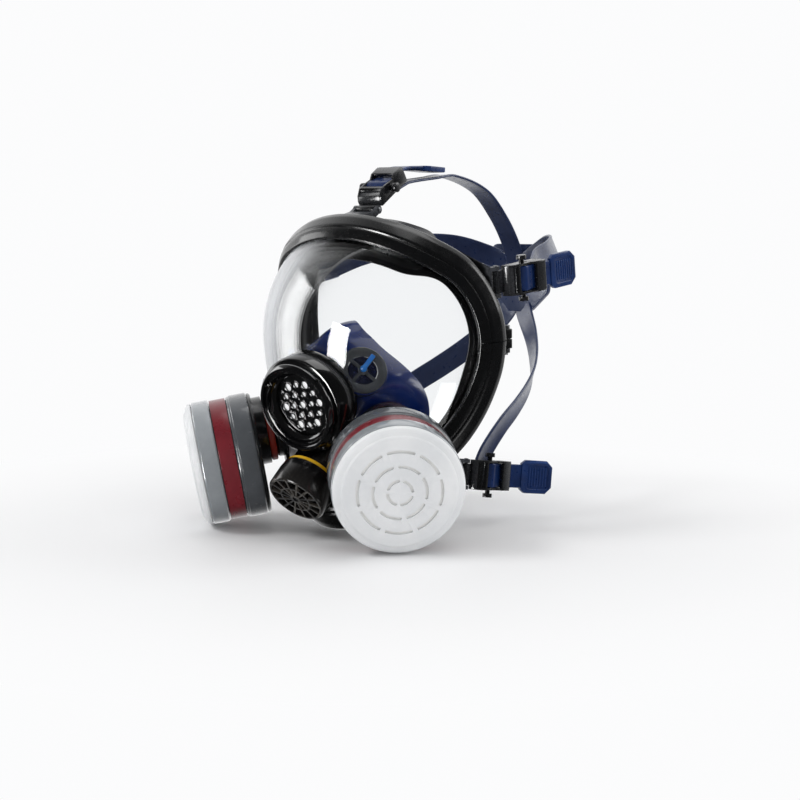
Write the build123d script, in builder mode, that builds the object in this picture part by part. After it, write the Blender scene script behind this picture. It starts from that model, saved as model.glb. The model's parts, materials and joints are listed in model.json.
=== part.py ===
from build123d import *
import os
from bisect import bisect_right
from collections import namedtuple
from math import atan2, cos, pi, radians, sin, sqrt

# Full-face respirator with twin bayonet filters, written as one STEP file per piece.
# Millimetres. +Z up, the wearer looks along -Y, +X is the wearer's left.
# Origin: mid-plane of the face at the height and depth of the pupils.

# ---------------------------------------------------------------- driving dimensions
LENS_R = 93.0            # radius of the wrap-round lens
LENS_CY = 28.0           # centre of the lens radius, along Y
LENS_CZ = -10.0          # height of the widest lens section
LENS_FLATTEN = 0.514     # flattening of the lower lens
LENS_NARROW = 0.28       # narrowing of the lower lens, reached LENS_NARROW_H below LENS_CZ
LENS_NARROW_H = 112.0
LENS_T = 2.5             # lens wall
LENS_EDGE = 4.9          # lens edge hidden under the frame lip
LENS_AXIS_Z = -51.0      # height of the line where the radial lens sections meet
LENS_HOLE_R = 20.0       # inner radius of those sections
SEAT_GAP = 0.3           # clearance between the lens and what sits on it or passes through

FRAME_W = 21.5           # width of the frame band measured along the lens
SEAM_Z = -12.0           # height of the joint between the two frame halves
SEAM_GAP = 0.4
SCREW_R = 2.0            # frame clamp screws, M4

VM_TILT = 16.0           # voicemitter axis below horizontal, degrees
VM_R = 30.2              # voicemitter rim radius
VM_BASE_R = 34.0
VM_NECK_R = 23.8
VM_CLAMP_R = 28.4        # clamp ring and gasket behind the lens

EX_R = 21.0              # exhale cover radius
EX_NECK_R = 14.0

FILTER_R = 43.5          # filter drum radius
FILTER_DROP = 15.0       # port axis sits this far above the drum axis
PORT_NECK_R = 17.5
TUBE_R = 16.5            # bayonet tube on the port
THREAD_GAP = 0.06        # radial gap between a neck and the ring around it

CHECK_BOSS_R = 17.4      # round boss on the nose cup under each check valve

STRAP_W = 17.0
STRAP_T = 1.6
PIN_R = 1.5              # buckle hinge pin
ROLLER_R = 3.0

X, Y, Z = Vector(1, 0, 0), Vector(0, 1, 0), Vector(0, 0, 1)
SIDES = ((1, "left"), (-1, "right"))

os.makedirs("parts", exist_ok=True)
pieces = {}              # file name: part


# ---------------------------------------------------------------- round parts on an axis
Frame = namedtuple("Frame", "origin axis radial")


def disc_plane(frame, height=0.0):
    """Plane square to the axis, this far along it."""
    return Plane(origin=frame.origin + frame.axis * height, x_dir=frame.radial,
                 z_dir=frame.axis)


def rod(frame, start, length, radius):
    """Plain cylinder on the axis, from start along it."""
    with BuildPart() as part:
        with BuildSketch(disc_plane(frame, start)):
            Circle(radius)
        extrude(amount=length)
    return part.part


def turned(frame, profile):
    """Profile of (radius, height along the axis) points turned round the axis."""
    with BuildPart() as part:
        with BuildSketch(Plane(origin=frame.origin, x_dir=frame.radial,
                               z_dir=frame.radial.cross(frame.axis))):
            with BuildLine():
                Polyline(*profile, close=True)
            make_face()
        revolve(axis=Axis(frame.origin, frame.axis))
    return part.part


def joined(parts):
    with BuildPart() as whole:
        for part in parts:
            add(part)
    return whole.part


# Each axis points out of the mask, away from the wearer
VOICEMITTER = Frame(Vector(0, -79.3, -55.9),
                    Vector(0, -cos(radians(VM_TILT)), -sin(radians(VM_TILT))), X)
EXHALE = Frame(Vector(0, -78.4, -116.7), Vector(0, -0.755, -0.654).normalized(), X)


def square_to(axis):
    """The direction nearest to up that is square to the axis."""
    return (Z - axis * Z.dot(axis)).normalized()


def filter_frame(side):
    """Drum axis, from the middle of the drum's back."""
    axis = Vector(side * 0.69, -0.70, -0.18).normalized()
    return Frame(Vector(side * 59.0, -48.5, -93.0), axis, square_to(axis))


def port_frame(side):
    back, axis, up = filter_frame(side)
    return Frame(back + up * FILTER_DROP, axis, up)


def check_frame(side):
    """Axis of a check valve on the nose cup."""
    axis = Vector(side * 0.69, -0.56, 0.43).normalized()
    return Frame(Vector(side * 29.5, -43.0, -30.8), axis, square_to(axis))


# ---------------------------------------------------------------- spacing and blending
def span(first, last, count):
    return [first + (last - first) * i / (count - 1) for i in range(count)]


def ramp(value, low, high):
    """Smooth step from 0 at low to 1 at high."""
    f = min(1.0, max(0.0, (value - low) / (high - low)))
    return f * f * (3 - 2 * f)


# ---------------------------------------------------------------- lens surface
def lens_y(x, z, grow=0.0):
    flatten = 1.0 if z > LENS_CZ else LENS_FLATTEN
    below = max(0.0, (LENS_CZ - z) / LENS_NARROW_H)
    narrow = 1 + LENS_NARROW * below ** 1.5
    depth_squared = (LENS_R + grow) ** 2 - (narrow * x) ** 2 - (flatten * (z - LENS_CZ)) ** 2
    return LENS_CY - sqrt(max(depth_squared, 30.0))


def lens_normal(x, z):
    step = 0.05
    slope_x = (lens_y(x + step, z) - lens_y(x - step, z)) / (2 * step)
    slope_z = (lens_y(x, z + step) - lens_y(x, z - step)) / (2 * step)
    return Vector(slope_x, -1, slope_z).normalized()


def lens_side(grow, toward):
    """Block on one side of the lens surface: toward 1 is behind it, -1 is in front."""
    grid = [[Vector(x, lens_y(x, z, grow), z) for z in span(-136, -8, 23)]
            for x in span(-78, 78, 27)]
    skin = Face.make_surface_from_array_of_points(grid, tol=0.02)
    with BuildPart() as block:
        extrude(skin, amount=70, dir=(0, toward, 0))
    return block.part


# Blocks that trim saddle seats to the front and the back of the lens
BEHIND_LENS = lens_side(SEAT_GAP, 1)
AHEAD_OF_LENS_BACK = lens_side(-LENS_T - SEAT_GAP, -1)


# ---------------------------------------------------------------- face-opening loop
# (x, z) down the wearer's left side, from top centre to bottom centre
HALF_LOOP = [(0, 58.3), (19, 56.9), (36.9, 52.8), (59.3, 43.4), (77.9, 29.2),
             (86.9, 12.4), (90.7, -5.9), (89.5, -24.1), (82.9, -48.4), (74.1, -67.7),
             (62, -84.5), (46, -101), (25, -116.5), (0, -122.5)]


def closed_loop(half):
    points = [Vector(x, lens_y(x, z), z) for x, z in half]
    return points + [Vector(-p.X, p.Y, p.Z) for p in reversed(points[1:-1])]


def dense_loop(control, per=40):
    """Cubic Hermite curve through the control points, per steps between neighbours."""
    count = len(control)
    points = []
    for i in range(count):
        before, start, end, after = (control[(i + j - 1) % count] for j in range(4))
        len_before = (start - before).length
        len_here = (end - start).length
        len_after = (after - end).length
        slope_start = (end - before) * (len_here / (len_before + len_here))
        slope_end = (after - start) * (len_here / (len_here + len_after))
        for j in range(per):
            f = j / per
            points.append(start * (2 * f ** 3 - 3 * f ** 2 + 1)
                          + slope_start * (f ** 3 - 2 * f ** 2 + f)
                          + end * (-2 * f ** 3 + 3 * f ** 2)
                          + slope_end * (f ** 3 - f ** 2))
    return points


LOOP = dense_loop(closed_loop(HALF_LOOP))
ARC_AT = [0.0]           # arc length from the top to each loop point
for i in range(len(LOOP)):
    ARC_AT.append(ARC_AT[-1] + (LOOP[(i + 1) % len(LOOP)] - LOOP[i]).length)
LOOP_L = ARC_AT[-1]
HALF_L = LOOP_L / 2


def loop_point(arc):
    arc = arc % LOOP_L
    i = min(bisect_right(ARC_AT, arc), len(LOOP)) - 1
    f = (arc - ARC_AT[i]) / (ARC_AT[i + 1] - ARC_AT[i])
    start, end = LOOP[i], LOOP[(i + 1) % len(LOOP)]
    return start + (end - start) * f


def station(arc):
    """Loop point with its tangent, outward in-surface direction and lens normal."""
    point = loop_point(arc)
    tangent = (loop_point(arc + 4) - loop_point(arc - 4)).normalized()
    normal = lens_normal(point.X, point.Z)
    normal = (normal - tangent * normal.dot(tangent)).normalized()
    return point, tangent, normal.cross(tangent).normalized(), normal


def arc_at_height(z):
    """Arc length from the top to the place at height z on the left side."""
    low, high = 30.0, HALF_L
    for _ in range(50):
        middle = (low + high) / 2
        if loop_point(middle).Z > z:
            low = middle
        else:
            high = middle
    return low


def loop_strip(arcs, section):
    """Loft round the loop; section(arc) gives (outward, along lens normal) points."""
    with BuildPart() as strip:
        for arc in arcs:
            point, _, outward, normal = station(arc)
            with BuildSketch(Plane(origin=point, x_dir=outward, z_dir=outward.cross(normal))):
                with BuildLine():
                    Polyline(*section(arc), close=True)
                make_face()
        loft()
    return strip.part


ARC_SEAM = arc_at_height(SEAM_Z)
ARC_TEMPLE = arc_at_height(31.0)
ARC_CHEEK = arc_at_height(-99.0)


# ---------------------------------------------------------------- shells of radial sections
def even_spline(points):
    """Curve with evenly spread knots, so that neighbouring sections stay compatible."""
    vectors = [Vector(x, y) for x, y in points]
    knots = [i / (len(vectors) - 1) for i in range(len(vectors))]
    return Edge.make_spline(vectors, parameters=knots)


def radial_plane(height, x, z):
    """Plane through the line x = 0, z = height, in the direction (x, z)."""
    direction = Vector(x, 0, z)
    return Plane(origin=(0, 0, height), x_dir=direction, z_dir=direction.cross(Y))


def half_shell(sections):
    """Loft through (plane, outer points, inner points), trimmed to +X."""
    with BuildPart() as half:
        for plane, outer, inner in sections:
            with BuildSketch(plane):
                with BuildLine():
                    add(even_spline(outer))
                    Line(outer[-1], inner[-1])
                    add(even_spline(list(reversed(inner))))
                    Line(inner[0], outer[0])
                make_face()
        loft()
        split(bisect_by=Plane.YZ, keep=Keep.TOP)
    return half.part


# ================================================================ clear lens
def lens_section(arc):
    point, _, outward, _ = station(arc)
    edge = point + outward * LENS_EDGE
    dx, dz = edge.X, edge.Z - LENS_AXIS_Z
    reach = sqrt(dx * dx + dz * dz)
    dir_x, dir_z = dx / reach, dz / reach
    outer, inner = [], []
    for j in range(11):
        r = LENS_HOLE_R + (reach - LENS_HOLE_R) * sin(pi / 2 * j / 10)
        x, z = dir_x * r, LENS_AXIS_Z + dir_z * r
        y = lens_y(x, z)
        normal = lens_normal(x, z)
        normal_r = normal.X * dir_x + normal.Z * dir_z
        size = sqrt(normal_r * normal_r + normal.Y * normal.Y)
        outer.append((r, y))
        inner.append((r - normal_r / size * LENS_T, y - normal.Y / size * LENS_T))
    return radial_plane(LENS_AXIS_Z, dir_x, dir_z), outer, inner


def make_lens():
    arcs = sorted(span(-16, HALF_L + 16, 23) + [ARC_SEAM - 9.1, ARC_SEAM + 5.9])
    half = half_shell([lens_section(arc) for arc in arcs])
    with BuildPart() as lens:
        add(half)
        mirror(half, about=Plane.YZ)
        add(rod(VOICEMITTER, -60, 70, VM_NECK_R + SEAT_GAP), mode=Mode.SUBTRACT)
        add(rod(EXHALE, -55, 50, EX_NECK_R + SEAT_GAP), mode=Mode.SUBTRACT)
        for side, _ in SIDES:
            add(rod(port_frame(side), -30, 25, PORT_NECK_R + SEAT_GAP), mode=Mode.SUBTRACT)
    return lens.part


pieces["lens"] = make_lens()

# ================================================================ lens frame, two halves
# (outward, along lens normal): front lip, outer edge, channel for the seal and lens
FRAME_SECTION = [(-2.5, 0.5), (-2.2, 2.6), (2.5, 5.0), (8, 6.0), (15, 6.0), (19.5, 4.6),
                 (FRAME_W, 2.0), (FRAME_W, -7.0), (20, -8.5), (11, -8.5), (11, -6.3),
                 (18.5, -6.3), (18.5, 1.0), (16.5, 2.4), (5.4, 2.4), (4.8, 0.5)]
BOSS_OUT, BOSS_BACK = 24.6, 3.4          # clamp boss centre from the loop
BOSS_W, BOSS_D, BOSS_H = 8.6, 8.4, 6.5   # each boss outward, fore and aft, along the seam axis
SCREW_OFFSET = (0.9, 0)                  # screw axis from the boss centre
SCREW_HEAD_START, SCREW_HEAD_H = -6.75, 2.4


def seam_plane(side, down_shift):
    """Plane across the seam, facing down, moved along its normal."""
    point, tangent, outward, normal = station(side * ARC_SEAM)
    down = tangent if tangent.Z < 0 else tangent * -1
    return Plane(origin=point + outward * BOSS_OUT + normal * -BOSS_BACK + down * down_shift,
                 x_dir=outward, z_dir=down)


def frame_half(arcs, away, hole_start):
    """Band with two clamp bosses; away is -1 for the upper half and 1 for the lower."""
    band = loop_strip(arcs, lambda arc: FRAME_SECTION)
    with BuildPart() as half:
        add(band)
        for side, _ in SIDES:
            with BuildSketch(seam_plane(side, away * SEAM_GAP / 2)):
                RectangleRounded(BOSS_W, BOSS_D, 1.2)
            extrude(amount=away * BOSS_H)
            with BuildSketch(seam_plane(side, hole_start)):
                with Locations(SCREW_OFFSET):
                    Circle(SCREW_R + 0.15)
            extrude(amount=12, mode=Mode.SUBTRACT)
    return half.part


def make_frame_screws():
    with BuildPart() as screws:
        for side, _ in SIDES:
            with BuildSketch(seam_plane(side, SCREW_HEAD_START)):
                with Locations(SCREW_OFFSET):
                    Circle(3.4)
            extrude(amount=-SCREW_HEAD_H)
            with BuildSketch(seam_plane(side, SCREW_HEAD_START)):
                with Locations(SCREW_OFFSET):
                    Circle(SCREW_R)
            extrude(amount=18)
            # hexagon socket
            with BuildSketch(seam_plane(side, -9.2)):
                with Locations(SCREW_OFFSET):
                    RegularPolygon(1.7, 6)
            extrude(amount=1.3, mode=Mode.SUBTRACT)
    return screws.part


def make_frame_nuts():
    with BuildPart() as nuts:
        for side, _ in SIDES:
            with BuildSketch(seam_plane(side, 6.8)):
                with Locations(SCREW_OFFSET):
                    RegularPolygon(3.6, 6)
                    Circle(SCREW_R + 0.02, mode=Mode.SUBTRACT)
            extrude(amount=3.0)
    return nuts.part


pieces["frame_upper"] = frame_half(
    span(-ARC_SEAM + SEAM_GAP / 2, ARC_SEAM - SEAM_GAP / 2, 25), -1, -10)
pieces["frame_lower"] = frame_half(
    sorted(span(ARC_SEAM + SEAM_GAP / 2, LOOP_L - ARC_SEAM - SEAM_GAP / 2, 27)
           + [ARC_SEAM + 6.5, LOOP_L - ARC_SEAM - 6.5]), 1, -2)
pieces["frame_screws"] = make_frame_screws()
pieces["frame_nuts"] = make_frame_nuts()


# ================================================================ rubber face seal
def seal_section(arc):
    """Channel round the lens edge, an outward flap and an inward-curling lip."""
    from_top = min(arc % LOOP_L, LOOP_L - arc % LOOP_L)
    z = loop_point(arc).Z
    # weights of the places where the section changes
    top = 1 - ramp(from_top, 52, 88)
    ear = (ramp(from_top, ARC_SEAM - 14, ARC_SEAM + 4)
           * (1 - ramp(from_top, ARC_SEAM + 22, ARC_SEAM + 30)))
    chin = ramp(from_top, HALF_L - 70, HALF_L)
    low = ramp(-z, 35, 62)
    side = (1 - top) * (1 - chin)

    flap = 21.0 * top + 6.0 * ear + 1.0
    drop = 0.40 * flap * top + 0.15 * flap
    # lip tip, then the outside and the inside of its curl
    lip_b = -4.0 * top + (9.0 - 2.0 * low) * side + 12.0 * chin
    lip_n = -15.5 * top + (-21.5 + 4.5 * low) * side - 27.0 * chin
    out_b, out_n = lip_b + 7.0, lip_n - 3.0
    in_b, in_n = lip_b + 5.2, lip_n - 0.9
    return [(5.8, -3.1), (5.8, 1.9), (16.0, 1.9), (18.0, 0.5), (18.0, -5.8), (10.5, -5.8),
            (10.5, -9.1), (20.5, -9.2), (21.0 + flap, -9.6 - drop),
            (20.6 + flap, -11.3 - drop), (20, -11.6), (12.2, -11.9),
            ((12.2 + out_b) / 2 + 0.8, (out_n - 11.9) / 2), (out_b, out_n),
            (lip_b + 0.4, lip_n - 1.0), (lip_b, lip_n + 0.6), (in_b, in_n),
            ((8.6 + in_b) / 2 + 0.8, (in_n - 11.0) / 2), (8.6, -11.0), (3.4, -6.4),
            (2.0, -3.1)]


def make_face_seal():
    arcs = sorted(span(-11, HALF_L + 11, 29) + [ARC_SEAM - 4, ARC_SEAM + 7.8])
    strip = loop_strip(arcs, seal_section)
    with BuildPart() as half:
        add(strip)
        split(bisect_by=Plane.YZ, keep=Keep.TOP)
    with BuildPart() as seal:
        add(half.part)
        mirror(half.part, about=Plane.YZ)
    return seal.part


pieces["face_seal"] = make_face_seal()

# ================================================================ voicemitter
CHECK_CLEARANCES = [rod(check_frame(side), -8, 18, CHECK_BOSS_R) for side, _ in SIDES]
EX_CLEAR_R = 17.3        # room for the exhale neck behind the lens


def make_voicemitter_housing():
    with BuildPart() as housing:
        # base that sits on the lens
        add(turned(VOICEMITTER, [(VM_NECK_R - 1, -7.4), (33.4, -7.2), (VM_BASE_R, -8),
                                 (VM_BASE_R, -36), (VM_NECK_R - 1, -36)]))
        add(BEHIND_LENS, mode=Mode.SUBTRACT)
        # scallop that clears the exhale neck
        add(rod(EXHALE, -45, 29, 19.4), mode=Mode.SUBTRACT)
        # neck, then rim
        add(rod(VOICEMITTER, -33, 25, VM_NECK_R))
        add(turned(VOICEMITTER, [(20, -9), (20, -1), (27.6, 0), (29.4, 0), (VM_R, -0.8),
                                 (31.4, -2.2), (31.4, -5.0), (30.7, -5.3), (30.7, -6.5),
                                 (33.2, -7.0), (33.2, -9)]))
        # the exhale neck passes under the rim
        add(rod(EXHALE, -45, 25.2, 15.3), mode=Mode.SUBTRACT)
        # stepped bowl, grille seat and throat
        add(turned(VOICEMITTER, [(0, 1), (27.6, 1), (27.6, 0), (26.9, -2.4), (25.4, -2.4),
                                 (25.4, -4.2), (23.0, -7.4), (22.0, -7.8), (22.0, -16.2),
                                 (19.5, -16.2), (19.5, -34), (0, -34)]), mode=Mode.SUBTRACT)
        # arc slots in the bowl step
        for angle in (30, 150, 270):
            with BuildSketch(disc_plane(VOICEMITTER, -4.4)):
                SlotArc(CenterArc((0, 0), 25.9, angle - 9, 18, mode=Mode.PRIVATE), 2.2)
            extrude(amount=3, mode=Mode.SUBTRACT)
        # notches in the rim
        for angle in (150, 205, 335, 25):
            with BuildSketch(disc_plane(VOICEMITTER, -5.2)):
                with PolarLocations(31.6, 1, angle):
                    Rectangle(1.4, 5.0)
            extrude(amount=6, mode=Mode.SUBTRACT)
    return housing.part


def make_voicemitter_grille():
    with BuildPart() as grille:
        with BuildSketch(disc_plane(VOICEMITTER, -10.6)):
            Circle(21.8)
            Circle(2.3, mode=Mode.SUBTRACT)
            # rings of six holes: (pitch radius, start angle, hole radius)
            for pitch_r, angle, hole_r in ((8.3, 10, 1.7), (15.6, 10, 2.5), (14.4, 40, 1.8)):
                with PolarLocations(pitch_r, 6, angle):
                    Circle(hole_r, mode=Mode.SUBTRACT)
        extrude(amount=1.8)
    return grille.part


def make_voicemitter_gasket():
    bore, front, back = VM_NECK_R + 0.3, -12, -27.8
    with BuildPart() as gasket:
        add(turned(VOICEMITTER, [(bore, front), (VM_CLAMP_R, front), (VM_CLAMP_R, back),
                                 (bore, back)]))
        add(AHEAD_OF_LENS_BACK, mode=Mode.SUBTRACT)
        add(rod(EXHALE, -55, 40, EX_CLEAR_R), mode=Mode.SUBTRACT)
        for clearance in CHECK_CLEARANCES:
            add(clearance, mode=Mode.SUBTRACT)
    return gasket.part


def make_voicemitter_clamp():
    with BuildPart() as clamp:
        with BuildSketch(disc_plane(VOICEMITTER, -32.6)):
            Circle(VM_CLAMP_R)
            Circle(VM_NECK_R + THREAD_GAP, mode=Mode.SUBTRACT)
            with PolarLocations(28.6, 8):
                Circle(1.5, mode=Mode.SUBTRACT)
        extrude(amount=4.6)
        add(rod(EXHALE, -60, 45, EX_CLEAR_R), mode=Mode.SUBTRACT)
        for clearance in CHECK_CLEARANCES:
            add(clearance, mode=Mode.SUBTRACT)
    return clamp.part


pieces["voicemitter_housing"] = make_voicemitter_housing()
pieces["voicemitter_grille"] = make_voicemitter_grille()
pieces["voicemitter_diaphragm"] = rod(VOICEMITTER, -12.3, 0.4, 21.6)
pieces["voicemitter_retainer"] = turned(VOICEMITTER, [(19.6, -12.6), (21.8, -12.6),
                                                      (21.8, -16.0), (19.6, -16.0)])
pieces["voicemitter_gasket"] = make_voicemitter_gasket()
pieces["voicemitter_clamp"] = make_voicemitter_clamp()

# ================================================================ exhale valve
EX_SEAT_R = 17.4         # foot of the seat on the lens
EX_BORE_R = 10.8


def make_exhale_seat():
    with BuildPart() as seat:
        add(turned(EXHALE, [(EX_NECK_R - 2, -23.2), (EX_SEAT_R, -23.2), (EX_SEAT_R, -46),
                            (EX_NECK_R - 2, -46)]))
        add(BEHIND_LENS, mode=Mode.SUBTRACT)
        # keep clear of the voicemitter base
        add(rod(VOICEMITTER, -60, 64, VM_BASE_R + 0.8), mode=Mode.SUBTRACT)
        # neck with a flange at the front
        add(turned(EXHALE, [(0, -16.4), (EX_NECK_R, -16.4), (18.2, -16.6), (18.2, -20.0),
                            (15.0, -20.0), (15.0, -25), (EX_NECK_R, -25),
                            (EX_NECK_R, -49.5), (0, -49.5)]))
        # bore and front recess, leaving a web between them
        for front, back in ((-19, -51), (-15, -17.2)):
            add(turned(EXHALE, [(0, front), (EX_BORE_R, front), (EX_BORE_R, back), (0, back)]),
                mode=Mode.SUBTRACT)
        # windows and stem hole in the web
        with BuildSketch(disc_plane(EXHALE, -20)):
            with PolarLocations(6.6, 6):
                RectangleRounded(6.0, 3.4, 1.2)
        extrude(amount=5, mode=Mode.SUBTRACT)
        add(rod(EXHALE, -20, 5, 1.7), mode=Mode.SUBTRACT)
    return seat.part


def make_exhale_cover():
    with BuildPart() as cover:
        add(turned(EXHALE, [(0, 0), (20.2, 0), (EX_R, -1.2), (EX_R, -14), (20.4, -19.9),
                            (18.5, -19.9), (18.9, -3.0), (17, -2.2), (0, -2.2)]))
        # two rings of vents; the spokes are left standing
        # (outer radius, inner radius, spoke pitch radius, spoke width)
        for outer_r, inner_r, spoke_r, spoke_w in ((18.6, 11.6, 15, 1.5), (10.3, 4.0, 7, 1.2)):
            with BuildSketch(disc_plane(EXHALE, -3)):
                Circle(outer_r)
                Circle(inner_r, mode=Mode.SUBTRACT)
                with PolarLocations(spoke_r, 14, 6):
                    Rectangle(9, spoke_w, mode=Mode.SUBTRACT)
            extrude(amount=4, mode=Mode.SUBTRACT)
        # shallow hexagon in the middle
        with BuildSketch(disc_plane(EXHALE, -0.6)):
            RegularPolygon(2.4, 6)
        extrude(amount=1, mode=Mode.SUBTRACT)
    return cover.part


def make_exhale_nut():
    with BuildPart() as nut:
        with BuildSketch(disc_plane(EXHALE, -49.0)):
            Circle(16.8)
            Circle(EX_NECK_R + THREAD_GAP, mode=Mode.SUBTRACT)
        extrude(amount=8.8)
        add(AHEAD_OF_LENS_BACK, mode=Mode.SUBTRACT)
        add(pieces["voicemitter_housing"], mode=Mode.SUBTRACT)
    return nut.part


pieces["exhale_seat"] = make_exhale_seat()
pieces["exhale_disc"] = turned(EXHALE, [
    (0, -14.4), (11, -14.9), (13.2, -16.1), (13.0, -16.25), (10.5, -15.9), (1.6, -15.9),
    (1.6, -22.0), (2.3, -22.8), (0.9, -25.4), (0, -25.4)])
pieces["exhale_ring"] = turned(EXHALE, [(15.2, -20.2), (19.4, -20.2), (19.6, -20.6),
                                        (19.6, -22.4), (19.2, -22.9), (15.2, -22.9)])
pieces["exhale_cover"] = make_exhale_cover()
pieces["exhale_nut"] = make_exhale_nut()

# ================================================================ inhale ports
PORT_BORE_R = 13.5
PORT_NUT_R = 22.5


def make_port(frame):
    with BuildPart() as port:
        # flange seated on the lens, then neck and bayonet tube
        add(turned(frame, [(12, -11.5), (19.6, -11.5), (20.6, -12.6), (20.6, -30), (12, -30)]))
        add(BEHIND_LENS, mode=Mode.SUBTRACT)
        add(turned(frame, [(0, -27.0), (PORT_NECK_R, -27.0), (PORT_NECK_R, -9.2),
                           (TUBE_R, -9.2), (TUBE_R, -2.6), (15.9, -2.0), (0, -2.0)]))
        add(turned(frame, [(0, -1), (PORT_BORE_R, -1), (PORT_BORE_R, -24.6), (0, -24.6)]),
            mode=Mode.SUBTRACT)
        # windows and stem hole in the web behind the bore
        with BuildSketch(disc_plane(frame, -28)):
            with PolarLocations(7.6, 6):
                RectangleRounded(7.4, 4.2, 1.4)
            Circle(1.5)
        extrude(amount=6, mode=Mode.SUBTRACT)
        # bayonet lugs on the tube
        for angle in (0, 120, 240):
            with BuildSketch(disc_plane(frame, -5.4)):
                with PolarLocations(TUBE_R + 0.3, 1, angle):
                    Rectangle(2.4, 7)
            extrude(amount=2.0)
    return port.part


def make_port_gasket(frame):
    bore = PORT_NECK_R + 0.2
    return turned(frame, [(bore, -11.2), (21.6, -11.2), (22.4, -10.4), (22.4, -7.4),
                          (21.6, -6.8), (bore, -6.8)])


def make_port_nut(frame):
    bore, front, back = PORT_NECK_R + THREAD_GAP, -15, -26.8
    with BuildPart() as nut:
        add(turned(frame, [(bore, front), (PORT_NUT_R, front), (PORT_NUT_R, back),
                           (bore, back)]))
        add(AHEAD_OF_LENS_BACK, mode=Mode.SUBTRACT)
    return nut.part


def make_inhale_disc(frame):
    """Flap behind the port with its stem."""
    with BuildPart() as disc:
        add(turned(frame, [(0, -27.3), (12.4, -27.3), (12.4, -28.1), (1.3, -28.3),
                           (0, -28.3)]))
        add(rod(frame, -28.0, 5.0, 1.4))
    return disc.part


for side, hand in SIDES:
    pieces["port_" + hand] = make_port(port_frame(side))
    pieces["inhale_disc_" + hand] = make_inhale_disc(port_frame(side))
pieces["port_gaskets"] = joined([make_port_gasket(port_frame(side)) for side, _ in SIDES])
pieces["port_nuts"] = joined([make_port_nut(port_frame(side)) for side, _ in SIDES])

# ================================================================ filters
# Profiles of (radius, height above the drum's back)
BASE_PROFILE = [(0, 0.3), (41.6, 0.3), (42.6, 1.3), (42.6, 2.8), (0, 2.8)]
DRUM_PROFILE = [(41.0, 3.1), (42.6, 3.1), (FILTER_R, 4.0), (FILTER_R, 15.2), (42.9, 15.8),
                (42.9, 16.6), (42.2, 17.6), (40.8, 17.6), (40.8, 29.8), (39.6, 29.8),
                (39.6, 4.6), (41.0, 4.6)]
BAND_PROFILE = [(41.0, 18.1), (42.5, 18.1), (42.5, 29.4), (41.0, 29.4)]
RING_PROFILE = [(39.0, 30.1), (42.6, 30.1), (FILTER_R, 31.0), (FILTER_R, 41.2),
                (42.8, 42.3), (41.2, 42.3), (41.2, 32.0), (39.0, 32.0)]
PAD_PROFILE = [(0, 32.3), (39.9, 32.3), (39.9, 42.4), (39.2, 43.2), (37.4, 44.9),
               (34.6, 46.2), (29.8, 47.0), (0, 47.6)]
CAP_PROFILE = [(0, 48.0), (30, 47.4), (35, 46.6), (38, 45.2), (39.8, 43.6), (40.2, 42.7),
               (42.9, 42.7), (42.9, 44.4), (41.2, 46.4), (37.6, 47.6), (37.0, 48.5),
               (30, 49.2), (0, 49.8)]
# Rings of arc slots in the cap: (radius, count, sweep in degrees)
CAP_SLOTS = ((8.0, 4, 62), (17.5, 6, 44), (27.5, 8, 34))


def make_filter_base(frame, port):
    with BuildPart() as base:
        add(turned(frame, BASE_PROFILE))
        # collar round the port tube, its socket and the airway
        add(rod(port, -6.4, 7.0, 24.0))
        add(rod(port, -7, 5.4, TUBE_R + 2.2), mode=Mode.SUBTRACT)
        add(rod(port, -2, 6, 12.0), mode=Mode.SUBTRACT)
    return base.part


def make_prefilter_cap(frame):
    with BuildPart() as cap:
        add(turned(frame, CAP_PROFILE))
        for radius, count, sweep_angle in CAP_SLOTS:
            for k in range(count):
                # each ring is turned by as many degrees as its radius in millimetres
                start = 360 * k / count + radius
                with BuildSketch(disc_plane(frame, 44)):
                    SlotArc(CenterArc((0, 0), radius, start, sweep_angle, mode=Mode.PRIVATE),
                            2.0)
                extrude(amount=8, mode=Mode.SUBTRACT)
    return cap.part


for side, hand in SIDES:
    drum_axis = filter_frame(side)
    pieces["filter_base_" + hand] = make_filter_base(drum_axis, port_frame(side))
    pieces["filter_drum_" + hand] = turned(drum_axis, DRUM_PROFILE)
    pieces["filter_band_" + hand] = turned(drum_axis, BAND_PROFILE)
    pieces["carbon_bed_" + hand] = rod(drum_axis, 4.8, 24, 39.3)
    pieces["filter_ring_" + hand] = turned(drum_axis, RING_PROFILE)
    pieces["prefilter_pad_" + hand] = turned(drum_axis, PAD_PROFILE)
    pieces["prefilter_cap_" + hand] = make_prefilter_cap(drum_axis)

# ================================================================ nose cup
CUP_Z = -46.8            # height of the line where the radial cup sections meet
CUP_Y = -47.6
CUP_T = 1.8
CUP_FLAT = [22.0, 24.0, 26.0, 28.0]      # radii along the flat front of each section
# Rim on the wearer's left, top to bottom: (x, y, z)
RIM = [(0, -15.7, 0.9), (15, -16.5, -11), (28, -11.5, -22.5), (40, -3, -34), (49, 4, -48),
       (52, 6, -65), (47, 0, -85), (32, -12, -103), (15, -24, -112), (0, -28, -115)]
# Directions of the cup sections in degrees, 90 is up
CUP_ANGLES = [90, 80, 68, 56, 45, 34, 22, 10, -2, -15, -28, -42, -56, -70, -80, -90]


def rim_samples():
    """(angle, radius, y) at 41 places on each side of the rim outline."""
    samples = []
    for (x0, y0, z0), (x1, y1, z1) in zip(RIM, RIM[1:]):
        for k in range(41):
            f = k / 40
            x, y, z = x0 + (x1 - x0) * f, y0 + (y1 - y0) * f, z0 + (z1 - z0) * f
            samples.append((atan2(z - CUP_Z, x) * 180 / pi,
                            (x * x + (z - CUP_Z) ** 2) ** 0.5, y))
    return samples


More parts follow.
